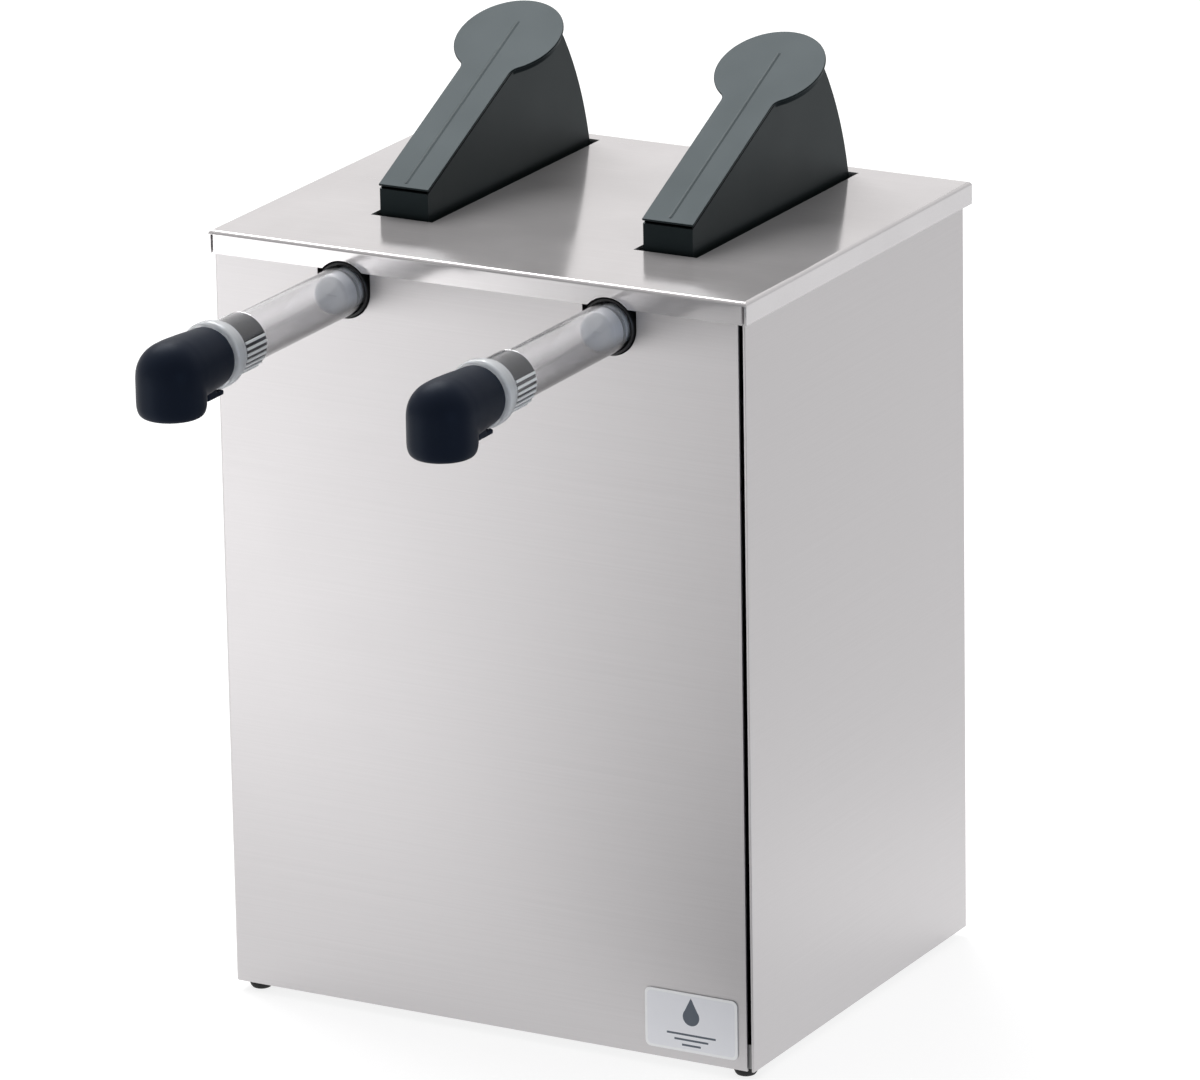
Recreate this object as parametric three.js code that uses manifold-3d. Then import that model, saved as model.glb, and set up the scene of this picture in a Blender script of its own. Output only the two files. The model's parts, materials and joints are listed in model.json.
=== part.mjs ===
// Twin countertop condiment pump dispenser: a sheet-steel case with two pouch bays, a lift-off
// lid, and two lever pumps whose clear discharge tubes end in black down-turned spouts.
// Millimetres, +Z up, +X to the right as the server sees it, the spouts towards -Y.
// Pieces are drawn with Y = 0 on the case's front face and Z = 0 on the counter. The finished
// group is then moved along Y, so that the origin is the middle of the whole footprint.
import * as THREE from 'three';
import { mergeVertices } from 'three/addons/utils/BufferGeometryUtils.js';
import Module from 'manifold-3d';

// ---------- driving dimensions ----------
const caseWidth = 282;
const caseDepth = 223;
const caseHeight = 375; // from the case's bottom edge to the top of the lid
const footHeight = 5;
const sheet = 1.2;
const gap = 0.3; // between pieces that seat on each other
const seamGap = 2.4; // open upright seam between the two case panels
const bendRadius = 2;

const lidFlange = 11;
const lidClearance = 0.5;
const lidRearOverhang = 5;
const lidCornerSlot = 1.3;
const slotSide = 3.2; // room round a lever in its lid slot
const slotFront = 2.5;
const slotRear = 3.1;

const pumpSpacing = 141;
const tubeDrop = 20.5; // tube axis below the top of the lid
const tubeRadius = 12;
const tubeWall = 2;
const tubeReach = 91.5; // from the case's front to the shoulder against the spout's sleeve
const tubeShoulder = 1.9; // step down to the spigot that enters the sleeve
const tubeSpigot = 12;
const spigotWall = 1.8;
const notchRoom = 0.6; // round the boss in the case's notch
const archRoom = 0.8; // round the boss in the lid's flange

const pivotY = 60.5;
const pivotDrop = 30; // lever pivot below the top of the lid
const pivotPinRadius = 2.5;
const leverWidth = 27;
const leverWall = 2.4;
const leverFrontY = 57;
const leverFrontHeight = 14.6; // front face above the lid
const leverSlope = THREE.MathUtils.degToRad(25.6);
const leverRearRadius = 157.5; // curved rear wall, about the pivot
const leverSkirt = 9; // the walls end this far below the top of the lid
const padRadius = 27;
const padThickness = 4;
const padY = 160;
const padFillet = 6;
const earRadius = 8.5;
const tabRadius = 8; // round ends of the tabs that carry the plunger's pin
const pinSlotLength = 9;
const pivotPinProud = 1.1; // past the lever's sides
const plungerPinProud = 0.7;

const plungerY = 150.5;
const stroke = 35;
const cylinderBore = 17;
const cylinderWall = 3;
const pistonHeight = 12;
const rodRadius = 6;
const plungerPinRadius = 2.5;
const runningGap = 0.4;
const capWall = 1.9; // skirt of the cylinder's screw cap
const capPlug = 4; // how far the cap's plug enters the bore
const capSkirt = 10;
const capHead = 6; // height of the cap above the cylinder
const capChamfer = 1.2;
const tabClearance = 2.5; // between the lever's tabs and the cap when the lever is down
const pistonTopRoom = 0.5; // between piston and cap at rest
const pistonSeal = 1; // radius of the seal's section
const tubeSealSection = 0.6;
const noseSealSection = 1.1;
const springWire = 0.8; // wire radius
const springInset = 4.5; // from the bore to the middle of the wire
const springTurns = 6.5;
const springSolidRoom = 12.5; // height left under the piston when it is down
const ballRadius = 5.5;
const ballSeatBore = 4;
const ballLift = 3;
const ballRoom = 1.3; // round the ball in the valve neck
const neckWall = 3.2;
const cageThickness = 2;
const cylinderFloorThickness = 4;
const pumpFlange = 6; // the flange stands this far out from the cylinder
const pumpFlangeThickness = 4;

const channelRadius = 8;
const channelBore = 5;
const bossWall = 1.1;
const bossLength = 10;
const bossSocket = 5; // depth of the socket that the clear tube plugs into

const collarLength = 20.5;
const collarWall = 0.5;
const ribCount = 14;
const ribHeight = 0.6;
const ribWidth = 1.4;
const ribMargin = 2; // plain edge of the collar at each end of a rib
const ringLength = 9.5;
const ringWall = 3.1;
const ringChamfer = 1.2;
const ringGroove = 3; // smaller step of the ring beside the collar
const sleeveWall = 2.2;
const barrelStep = 1.7; // barrel larger than the sleeve
const dropFlare = 1.9; // down-turned end larger than the barrel
const elbowReach = 33.5; // from the ring to the middle of the outlet
const outletDrop = 36; // spout outlet below the top of the lid
const spoutWall = 2.2;
const valveInset = 3; // drip valve above the outlet's rim
const valveThickness = 2.5;

const shelfClearance = 14; // under the lever's rear corner when it is down
const shelfFrontY = 30;
const dividerFrontY = 32;
const turnedEdge = 12; // height of the turned edges on shelf, tray and divider
const footInset = 9;
const rearFootInset = 21; // from the side walls; the rear feet stand further in
const footRadius = 6;
const footStem = 2.4;
const footBarb = 4;
const footFlat = 3.6; // radius of the flat under the dome
const labelWidth = 49;
const labelHeight = 29.5;
const labelRight = 8.2; // from the case's right side
const labelRise = 4.7; // from the case's bottom edge
const labelThickness = 0.4;

// ---------- worked-out levels and places ----------
const lidTop = footHeight + caseHeight;
const wallTop = lidTop - sheet - gap;
const tubeZ = lidTop - tubeDrop;
const pivotZ = lidTop - pivotDrop;
const halfWidth = caseWidth / 2;
const lidOverhang = lidClearance + sheet;
const lidHalfWidth = halfWidth + lidOverhang;
const lidRearY = caseDepth + lidRearOverhang;
const pumpX = pumpSpacing / 2;
const cylinderRadius = cylinderBore + cylinderWall;
const capRadius = cylinderRadius + gap + capWall;
const riserY = plungerY - capRadius - 4 * gap - channelRadius;
const baseFloor = footHeight + 1; // underside of the base tray
const baseTop = baseFloor + sheet;

const plungerReach = plungerY - pivotY;
const pinZ = pivotZ + stroke / 2; // plunger pin at rest, as far above the pivot as it ends below it
const pinDownZ = pivotZ - stroke / 2;
const pressTurn = 2 * Math.atan2(stroke / 2, plungerReach);
const cylinderTop = pinDownZ - tabRadius - tabClearance - capHead;
const pistonTop = cylinderTop - capPlug - pistonTopRoom;
const pistonBottom = pistonTop - pistonHeight;
const pistonSealZ = pistonBottom + 5.7;
const springRadius = cylinderBore - springInset;
const cylinderFloor = pistonBottom - stroke - springSolidRoom;
const cylinderBottom = cylinderFloor - cylinderFloorThickness;

const cageBottom = cylinderFloor - cageThickness;
const ballSit = Math.sqrt(ballRadius ** 2 - ballSeatBore ** 2) + gap / 2; // ball's centre above its seat
const seatZ = cageBottom - 2 * gap - ballLift - ballRadius - ballSit;
const neckBore = ballRadius + ballRoom;
const neckRadius = neckBore + neckWall;
const neckBottom = seatZ - 3;
const noseLength = 21;
const noseRadius = 7; // hollow nose that enters the pouch's spout
const noseRib = 8;
const noseGroove = 6;
const noseGrooveLow = 5; // groove's edges above the nose's end
const noseGrooveHigh = 8;
const collarDepth = 4; // solid part of the connector between its nose and its threaded rim
const fittingBottom = neckBottom - collarDepth - noseLength;

const leverFootZ = lidTop - leverSkirt;
const leverFootTurn = Math.asin((leverFootZ - pivotZ) / leverRearRadius);
const leverLowZ = pivotZ + leverRearRadius * Math.sin(leverFootTurn - pressTurn);
const shelfTop = leverLowZ - shelfClearance;

const tubeBore = tubeRadius - tubeWall;
const bossRadius = tubeRadius + gap + bossWall;
const bossFrontY = -(lidOverhang + gap);
const bossRearY = bossFrontY + bossLength;
const socketY = bossFrontY + bossSocket;
const tubeRearY = socketY - gap;
const tubeSealY = -5;
const tubeFrontY = -tubeReach;
const spigotRadius = tubeRadius - tubeShoulder;
const flowBore = spigotRadius - spigotWall;
const sleeveBore = spigotRadius + gap;
const sleeveRadius = sleeveBore + sleeveWall;
const collarBore = sleeveRadius + gap;
const collarRadius = collarBore + collarWall;
const ringRadius = collarBore + ringWall;
const barrelRadius = sleeveRadius + barrelStep;
const barrelRearY = tubeFrontY - collarLength - ringLength;
const dropRadius = barrelRadius + dropFlare;
const dropY = barrelRearY - elbowReach;
const outletZ = lidTop - outletDrop;

const segments = 24; // flats on a full circle of a large round piece
const smallSegments = 12; // and of a small one
const sealFlats = 6; // flats round the section of a seal ring
const leverArcFlats = 7; // half as many flats as the lever's rear arc has

// ---------- finishes ----------
const finish = (color, roughness, metalness, extra = {}) =>
  new THREE.MeshStandardMaterial({ color, roughness, metalness, ...extra });
const steel = finish(0xc9c7c8, 0.34, 1);
const darkSteel = finish(0xa9a8a8, 0.4, 1);
const pinSteel = finish(0xb8b8ba, 0.25, 1);
const leverPlastic = finish(0x3b4043, 0.5, 0);
const blackPlastic = finish(0x101216, 0.35, 0);
const clearPlastic = finish(0xe8ecee, 0.08, 0, { transparent: true, opacity: 0.35 });
const whitePlastic = finish(0xf0f1f2, 0.4, 0);
const rubber = finish(0x0c0c0c, 0.8, 0);
const sealRubber = finish(0xb9bcbf, 0.7, 0);
const labelFilm = finish(0xe9eaea, 0.45, 0);

// ---------- solids ----------
const wasm = await Module();
wasm.setup();

// A closed geometry as a solid that can be joined and cut. A profile that was drawn the other
// way round would face inwards, so such a geometry has its faces turned.
function solid(geometry) {
  const bare = geometry.clone();
  bare.deleteAttribute('normal');
  bare.deleteAttribute('uv');
  const merged = mergeVertices(bare, 1e-4);
  const position = merged.getAttribute('position');
  const corner = [new THREE.Vector3(), new THREE.Vector3(), new THREE.Vector3()];
  const faces = [];
  let volume = 0;
  for (let i = 0; i < merged.index.count; i += 3) {
    const face = [0, 1, 2].map((k) => merged.index.getX(i + k));
    if (new Set(face).size < 3) continue;
    face.forEach((vertex, k) => corner[k].fromBufferAttribute(position, vertex));
    volume += corner[0].dot(corner[1].clone().cross(corner[2]));
    faces.push(face);
  }
  if (volume < 0) faces.forEach((face) => face.reverse());
  return new wasm.Manifold(new wasm.Mesh({
    numProp: 3,
    vertProperties: new Float32Array(position.array),
    triVerts: new Uint32Array(faces.flat()),
  }));
}

function geometryOf(body) {
  const mesh = body.getMesh();
  const geometry = new THREE.BufferGeometry();
  geometry.setAttribute('position', new THREE.BufferAttribute(mesh.vertProperties, 3));
  geometry.setIndex(new THREE.BufferAttribute(mesh.triVerts, 1));
  const flat = geometry.toNonIndexed();
  flat.computeVertexNormals();
  return flat;
}

const joined = (...bodies) => bodies.reduce((a, b) => a.add(b));
const cut = (body, ...tools) => tools.reduce((a, b) => a.subtract(b), body);

function block(x0, x1, y0, y1, z0, z1) {
  const geometry = new THREE.BoxGeometry(x1 - x0, y1 - y0, z1 - z0);
  return solid(geometry.translate((x0 + x1) / 2, (y0 + y1) / 2, (z0 + z1) / 2));
}

const extrude = (shape, depth, curveSegments = 12) =>
  new THREE.ExtrudeGeometry(shape, { depth, bevelEnabled: false, curveSegments });

// A shape drawn in plan, raised from z0 to z1.
const upright = (shape, z0, z1, flats) =>
  solid(extrude(shape, z1 - z0, flats).translate(0, 0, z0));

// A shape drawn from the side, its x along +Y and its y along +Z, spread from x0 to x1.
const turnSide = new THREE.Matrix4().makeBasis(
  new THREE.Vector3(0, 1, 0), new THREE.Vector3(0, 0, 1), new THREE.Vector3(1, 0, 0));
const sideways = (shape, x0, x1, flats) =>
  solid(extrude(shape, x1 - x0, flats).applyMatrix4(turnSide).translate(x0, 0, 0));

// A shape drawn from the front, its x along +X and its y along +Z, spread from y0 to y1.
const turnFront = new THREE.Matrix4().makeBasis(
  new THREE.Vector3(1, 0, 0), new THREE.Vector3(0, 0, 1), new THREE.Vector3(0, -1, 0));
const frontal = (shape, y0, y1, flats) =>
  solid(extrude(shape, y1 - y0, flats).applyMatrix4(turnFront).translate(0, y1, 0));

const lathe = (profile, flats) =>
  new THREE.LatheGeometry(profile.map(([r, h]) => new THREE.Vector2(r, h)), flats);

// A profile of [radius, height] turned about an upright axis through x, y.
const turned = (profile, x, y, flats = segments) =>
  solid(lathe(profile, flats).rotateX(Math.PI / 2).translate(x, y, 0));

// A profile of [radius, y] turned about an axis that runs front to back through x, z.
const turnedAlongY = (profile, x, z, flats = segments) =>
  solid(lathe(profile, flats).translate(x, 0, z));

const rod = (radius, z0, z1, x, y, flats = segments) =>
  turned([[0, z0], [radius, z0], [radius, z1], [0, z1]], x, y, flats);

const rodAlongY = (radius, y0, y1, x, z, flats = segments) =>
  turnedAlongY([[0, y0], [radius, y0], [radius, y1], [0, y1]], x, z, flats);

function rodAlongX(radius, x0, x1, y, z, flats = smallSegments) {
  const geometry = lathe([[0, x0], [radius, x0], [radius, x1], [0, x1]], flats);
  return solid(geometry.rotateZ(-Math.PI / 2).translate(0, y, z));
}

function polygon(points) {
  return new THREE.Shape(points.map(([x, y]) => new THREE.Vector2(x, y)));
}

function circleProfile(radius, centre, flats) {
  const points = [];
  for (let i = 0; i <= flats; i += 1) {
    const turn = -2 * Math.PI * i / flats;
    points.push([centre[0] + radius * Math.cos(turn), centre[1] + radius * Math.sin(turn)]);
  }
  return points;
}

const dispenser = new THREE.Group();

function add(name, body, material) {
  const mesh = new THREE.Mesh(geometryOf(body), material);
  mesh.name = name;
  dispenser.add(mesh);
}

// ---------- case ----------
// An angle in plan: one wall along +X from the outer corner at the origin, one along +Y.
function angleSheet(alongX, alongY) {
  const shape = new THREE.Shape();
  shape.moveTo(bendRadius, 0);
  shape.lineTo(alongX, 0);
  shape.lineTo(alongX, sheet);
  shape.lineTo(bendRadius, sheet);
  shape.absarc(bendRadius, bendRadius, bendRadius - sheet, -Math.PI / 2, Math.PI, true);
  shape.lineTo(sheet, alongY);
  shape.lineTo(0, alongY);
  shape.lineTo(0, bendRadius);
  shape.absarc(bendRadius, bendRadius, bendRadius, Math.PI, 1.5 * Math.PI, false);
  return shape;
}

// U-shaped notch, open at the top, that a pump's discharge boss drops into.
function tubeNotch(x) {
  const radius = bossRadius + notchRoom;
  const shape = new THREE.Shape();
  shape.moveTo(x - radius, lidTop);
  shape.lineTo(x - radius, tubeZ);
  shape.absarc(x, tubeZ, radius, Math.PI, 2 * Math.PI, false);
  shape.lineTo(x + radius, lidTop);
  return frontal(shape, -sheet, 2 * sheet, 10);
}

// Front wall and left wall, one bent sheet.
function frontPanel() {
  const plan = angleSheet(caseWidth - sheet - seamGap, caseDepth);
  const walls = upright(plan, footHeight, wallTop, 4).translate([-halfWidth, 0, 0]);
  return cut(walls, tubeNotch(-pumpX), tubeNotch(pumpX));
}

// Rear wall and right wall: the same angle turned half round.
function rearPanel() {
  const plan = angleSheet(caseWidth - sheet - seamGap, caseDepth);
  const walls = upright(plan, footHeight, wallTop, 4);
  return walls.rotate([0, 0, 180]).translate([halfWidth, caseDepth, 0]);
}

// Floor tray, its four edges turned up inside the case walls, with a hole for each foot.
function baseTray() {
  const room = sheet + gap;
  const x = halfWidth - room;
  const front = room;
  const rear = caseDepth - room;
  const outer = block(-x, x, front, rear, baseFloor, baseFloor + turnedEdge);
  const inner = block(-x + sheet, x - sheet, front + sheet, rear - sheet, baseTop, lidTop);
  const hole = footStem + runningGap;
  return cut(outer, inner, ...footPlaces().map(([px, py]) => rod(hole, 0, lidTop, px, py, smallSegments)));
}

function footPlaces() {
  const frontX = halfWidth - footInset;
  const rearX = halfWidth - rearFootInset;
  const rearY = caseDepth - footInset;
  return [[-frontX, footInset], [frontX, footInset], [-rearX, rearY], [rearX, rearY]];
}

// Push-in rubber foot: a dome under the tray, a stem through it and a barb above it.
function foot([x, y]) {
  const profile = [[0, 0], [footFlat, 0]];
  const arcSteps = 3;
  const dome = footHeight - 0.5;
  for (let i = 1; i <= arcSteps; i += 1) {
    const turn = Math.PI / 2 * i / arcSteps;
    profile.push([footFlat + (footRadius - footFlat) * Math.sin(turn), dome * (1 - Math.cos(turn))]);
  }
  const barbZ = baseTop + gap;
  const tipZ = barbZ + footBarb;
  profile.push([footRadius, baseFloor - gap], [footStem, baseFloor - gap], [footStem, barbZ]);
  profile.push([footBarb, barbZ], [footStem, tipZ], [0, tipZ]);
  return turned(profile, x, y, smallSegments);
}

// Inverted tray: top sheet, side flanges over the full depth, front and rear flanges between
// them with an open slot at each corner, two lever slots and an arch over each tube.
function lid() {
  const inner = lidHalfWidth - sheet;
  const flangeFoot = lidTop - lidFlange;
  const roof = new THREE.Shape();
  roof.moveTo(-lidHalfWidth, flangeFoot);
  roof.lineTo(-inner, flangeFoot);
  roof.lineTo(-inner, lidTop - sheet);
  roof.lineTo(inner, lidTop - sheet);
  roof.lineTo(inner, flangeFoot);
  roof.lineTo(lidHalfWidth, flangeFoot);
  roof.absarc(lidHalfWidth - bendRadius, lidTop - bendRadius, bendRadius, 0, Math.PI / 2, false);
  roof.absarc(-lidHalfWidth + bendRadius, lidTop - bendRadius, bendRadius, Math.PI / 2, Math.PI, false);
  const top = frontal(roof, -lidOverhang + bendRadius, lidRearY - bendRadius, 4);
  const sideEnds = [-1, 1].map((side) => {
    const x = side * (lidHalfWidth - sheet / 2);
    return block(x - sheet / 2, x + sheet / 2, -lidOverhang, lidRearY, flangeFoot, lidTop - bendRadius);
  });
  const reach = inner - lidCornerSlot;
  const front = sideways(edgeFlange(-lidOverhang, 1, flangeFoot), -reach, reach, 4);
  const rear = sideways(edgeFlange(lidRearY, -1, flangeFoot), -reach, reach, 4);
  const openings = [-pumpX, pumpX].flatMap((x) => [
    leverSlot(x),
    rodAlongY(bossRadius + archRoom, -2 * lidOverhang, lidOverhang, x, tubeZ),
  ]);
  return cut(joined(top, ...sideEnds, front, rear), ...openings);
}

// Section of a flange bent down from the top sheet; inward is +1 on the front edge, -1 on the rear.
function edgeFlange(outerY, inward, flangeFoot) {
  const shape = new THREE.Shape();
  const bendY = outerY + inward * bendRadius;
  shape.moveTo(outerY, flangeFoot);
  shape.lineTo(outerY, lidTop - bendRadius);
  if (inward > 0) shape.absarc(bendY, lidTop - bendRadius, bendRadius, Math.PI, Math.PI / 2, true);
  else shape.absarc(bendY, lidTop - bendRadius, bendRadius, 0, Math.PI / 2, false);
  shape.lineTo(bendY + inward, lidTop);
  shape.lineTo(bendY + inward, lidTop - sheet);
  shape.lineTo(outerY + inward * sheet, lidTop - sheet);
  shape.lineTo(outerY + inward * sheet, flangeFoot);
  return shape;
}

function leverSlot(x) {
  const half = leverWidth / 2 + slotSide;
  const front = leverFrontY - slotFront;
  const rear = leverRearAt(lidTop) + slotRear;
  return block(x - half, x + half, front, rear, lidTop - 2 * sheet, lidTop + sheet);
}

// Where the lever's curved rear wall stands at height z.
function leverRearAt(z) {
  return pivotY + Math.sqrt(leverRearRadius ** 2 - (z - pivotZ) ** 2);
}

// Cross shelf that the pumps hang in: a plate with turned-down edges and two keyhole openings,
// each wide enough for a pump's cylinder and riser to lift out.
function pumpShelf() {
  const room = sheet + gap;
  const x = halfWidth - room;
  const front = shelfFrontY;
  const rear = caseDepth - room;
  const low = shelfTop - turnedEdge;
  const outer = block(-x, x, front, rear, low, shelfTop);
  const inner = block(-x + sheet, x - sheet, front + sheet, rear - sheet, low - 1, shelfTop - sheet);
  const holes = [-pumpX, pumpX].flatMap((px) => {
    const riserHalf = channelRadius + 1;
    return [
      rod(cylinderRadius + 1, low, lidTop, px, plungerY),
      block(px - riserHalf, px + riserHalf, riserY - riserHalf, plungerY, low, lidTop),
    ];
  });
  return cut(outer, inner, ...holes);
}

// Upright sheet between the two pouches, with a foot flange on the base tray.
function pouchDivider() {
  const room = 2 * (sheet + gap) + gap;
  const bottom = baseTop + gap;
  const top = shelfTop - sheet - gap;
  const rear = caseDepth - room;
  const web = block(-sheet / 2, sheet / 2, dividerFrontY, rear, bottom, top);
  const flange = block(-sheet / 2, turnedEdge, dividerFrontY, rear, bottom, bottom + sheet);
  return joined(web, flange);
}

function label() {
  const corner = 3;
  const x1 = halfWidth - labelRight;
  const x0 = x1 - labelWidth;
  const z0 = footHeight + labelRise;
  const z1 = z0 + labelHeight;
  const shape = new THREE.Shape();
  shape.moveTo(x0 + corner, z0);
  shape.absarc(x1 - corner, z0 + corner, corner, -Math.PI / 2, 0, false);
  shape.absarc(x1 - corner, z1 - corner, corner, 0, Math.PI / 2, false);
  shape.absarc(x0 + corner, z1 - corner, corner, Math.PI / 2, Math.PI, false);
  shape.absarc(x0 + corner, z0 + corner, corner, Math.PI, 1.5 * Math.PI, false);
  return frontal(shape, -gap - labelThickness, -gap, 3);
}

// ---------- pump, fixed pieces ----------
// One moulding: vertical cylinder, valve neck under it, riser in front of it, horizontal channel
// to the front boss, the saddle for the lever's pivot pin and the flange that rests on the shelf.
function pumpBody(x) {
  const flangeZ = shelfTop + gap;
  const channelTop = tubeZ + channelRadius;
  const riserBottom = cylinderFloor - cageThickness;
  const passageTop = cylinderTop - 2 * capSkirt; // top of the web between riser and cylinder
  const saddleHalf = 7;
  const saddleBottom = pivotZ - 6;
  const riser = (y0, y1, top) =>
    block(x - channelRadius, x + channelRadius, y0, y1, riserBottom, top);
  const shell = joined(
    rod(cylinderRadius, cylinderBottom, cylinderTop, x, plungerY),
    rod(cylinderRadius + pumpFlange, flangeZ, flangeZ + pumpFlangeThickness, x, plungerY),
    rod(neckRadius, neckBottom, cylinderFloor, x, plungerY, smallSegments),
    riser(riserY - channelRadius, riserY + channelRadius, channelTop),
    riser(riserY, plungerY - cylinderBore + 1, passageTop),
    rodAlongY(channelRadius, 0, riserY, x, tubeZ, smallSegments),
    rodAlongY(bossRadius, bossFrontY, bossRearY, x, tubeZ),
    block(x - channelRadius, x + channelRadius, pivotY - saddleHalf, pivotY + saddleHalf, saddleBottom, tubeZ),
  );
  const portRadius = 4;
  const portZ = cylinderFloor + portRadius + 1;
  const cageHalf = 1.5; // half width of the crossed slots that let the condiment past the ball
  const cageReach = neckBore - 0.8;
  const cageSlot = (halfX, halfY) =>
    block(x - halfX, x + halfX, plungerY - halfY, plungerY + halfY, cageBottom - 1, cylinderTop);
  const pinReach = leverWidth;
  return cut(
    shell,
    rod(cylinderBore, cylinderFloor, lidTop, x, plungerY),
    rod(neckBore, neckBottom - 1, cageBottom, x, plungerY, smallSegments),
    cageSlot(cageReach, cageHalf),
    cageSlot(cageHalf, cageReach),
    rod(channelBore, portZ - portRadius, tubeZ, x, riserY, smallSegments),
    rodAlongY(portRadius, riserY, plungerY, x, portZ, smallSegments),
    rodAlongY(channelBore, bossFrontY, riserY, x, tubeZ, smallSegments),
    rodAlongY(tubeRadius + gap, bossFrontY - 1, socketY, x, tubeZ),
    rodAlongX(pivotPinRadius + gap, x - pinReach, x + pinReach, pivotY, pivotZ),
  );
}

// Screw cap on the cylinder, with a short plug in the bore that guides the plunger's rod.
function cylinderCap(x) {
  const bore = rodRadius + runningGap;
  const plug = cylinderBore - gap;
  const skirtBore = cylinderRadius + gap;
  const top = cylinderTop + capHead;
  return turned([
    [bore, cylinderTop - capPlug], [plug, cylinderTop - capPlug], [plug, cylinderTop + gap],
    [skirtBore, cylinderTop + gap], [skirtBore, cylinderTop - capSkirt], [capRadius, cylinderTop - capSkirt],
    [capRadius, top - 2 * capChamfer], [capRadius - capChamfer, top], [bore, top],
    [bore, cylinderTop - capPlug],
  ], x, plungerY);
}

// Steel pin that the lever swings on.
function leverPivotPin(x) {
  const half = leverWidth / 2 + pivotPinProud;
  return rodAlongX(pivotPinRadius, x - half, x + half, pivotY, pivotZ);
}

// Compression spring in the cylinder, a round wire wound round a helix.
class SpringHelix extends THREE.Curve {
  constructor(radius, bottom, top, turns) {
    super();
    Object.assign(this, { radius, bottom, top, turns });
  }

  getPoint(t, target = new THREE.Vector3()) {
    const angle = 2 * Math.PI * this.turns * t;
    const height = THREE.MathUtils.lerp(this.bottom, this.top, t);
    return target.set(this.radius * Math.cos(angle), this.radius * Math.sin(angle), height);
  }
}

function returnSpring(x) {
  const bottom = cylinderFloor + gap + springWire;
  const top = pistonBottom - gap - springWire;
  const path = new SpringHelix(springRadius, bottom, top, springTurns);
  const wire = new THREE.Shape().absarc(0, 0, springWire, 0, 2 * Math.PI, false);
  const steps = Math.round(10 * springTurns);
  const coil = new THREE.ExtrudeGeometry(wire, { steps, extrudePath: path, curveSegments: 3 });
  return solid(coil.translate(x, plungerY, 0));
}

// Connector under the pump: screws onto the valve neck, carries the ball's seat, and pushes
// into the pouch's spout with a ribbed, hollow nose.
function suctionFitting(x) {
  const rimWall = 2.2;
  const rimHeight = 9;
  const neck = neckRadius + gap;
  const rim = neck + rimWall;
  const spigot = neckBore - gap;
  const rimBottom = neckBottom - collarDepth;
  const at = (rise) => fittingBottom + rise;
  return turned([
    [ballSeatBore, at(0)], [noseRadius - 1.5, at(0)], [noseRadius, at(3)], [noseRadius, at(noseGrooveLow)],
    [noseGroove, at(noseGrooveLow)], [noseGroove, at(noseGrooveHigh)], [noseRadius, at(noseGrooveHigh)],
    [noseRadius, at(12)], [noseRib, at(13)], [noseRib, at(15)], [noseRadius, at(16)],
    [noseRadius, rimBottom], [rim, rimBottom], [rim, neckBottom + rimHeight], [neck, neckBottom + rimHeight],
    [neck, neckBottom - gap], [spigot, neckBottom - gap], [spigot, seatZ], [ballSeatBore, seatZ],
    [ballSeatBore, at(0)],
  ], x, plungerY, smallSegments);
}

// Seal in the groove of the connector's nose.
function fittingSeal(x) {
  const centre = [noseGroove + gap + noseSealSection, fittingBottom + (noseGrooveLow + noseGrooveHigh) / 2];
  return turned(circleProfile(noseSealSection, centre, sealFlats), x, plungerY, smallSegments);
}

// Steel ball that lifts off its seat as the plunger rises.
function inletBall(x) {
  const ball = new THREE.SphereGeometry(ballRadius, 14, 8).rotateX(Math.PI / 2);
  return solid(ball.translate(x, plungerY, seatZ + ballSit));
}

// White plug in the rear end of the clear tube, with the one-way lips and a stub in the channel.
function dischargeValve(x) {
  const plug = tubeBore - gap;
  const groove = tubeBore - 2 * (gap + tubeSealSection);
  const stub = channelBore - gap;
  const bore = stub - 1.7;
  const chamfer = 1.5;
  const frontY = -14;
  const stubRearY = 15;
  const grooveHalf = tubeSealSection + 0.8;
  return turnedAlongY([
    [bore, frontY], [plug - chamfer, frontY], [plug, frontY + chamfer],
    [plug, tubeSealY - grooveHalf], [groove, tubeSealY - grooveHalf],
    [groove, tubeSealY + grooveHalf], [plug, tubeSealY + grooveHalf],
    [plug, tubeRearY], [stub, tubeRearY], [stub, stubRearY], [bore, stubRearY], [bore, frontY],
  ], x, tubeZ, smallSegments);
}

// Seal round the white plug, inside the tube.
function tubeSeal(x) {
  const centre = [tubeBore - gap - tubeSealSection, tubeSealY];
  return turnedAlongY(circleProfile(tubeSealSection, centre, sealFlats), x, tubeZ, smallSegments);
}

// Clear discharge tube, stepped at the front to enter the spout's sleeve.
function dischargeTube(x) {
  const spigotEnd = tubeFrontY - tubeSpigot;
  return turnedAlongY([
    [tubeBore, tubeRearY], [tubeRadius, tubeRearY], [tubeRadius, tubeFrontY], [spigotRadius, tubeFrontY],
    [spigotRadius, spigotEnd], [flowBore, spigotEnd], [flowBore, tubeFrontY + 1],
    [tubeBore, tubeFrontY + 2 * tubeWall], [tubeBore, tubeRearY],
  ], x, tubeZ);
}

// Clear ribbed nut round the spout's sleeve.
function spoutCollar(x) {
  const rear = tubeFrontY;
  const front = rear - collarLength + gap;
  const body = turnedAlongY([
    [collarBore, front], [collarRadius, front], [collarRadius, rear], [collarBore, rear], [collarBore, front],
  ], x, tubeZ);
  const ribs = [];
  for (let i = 0; i < ribCount; i += 1) {
    const rib = new THREE.BoxGeometry(ribWidth, collarLength - 2 * ribMargin, 2 * ribHeight);
    rib.translate(0, (front + rear) / 2, collarRadius).rotateY(2 * Math.PI * (i + 0.5) / ribCount);
    ribs.push(solid(rib.translate(x, 0, tubeZ)));
  }
  return joined(body, ...ribs);
}

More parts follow.
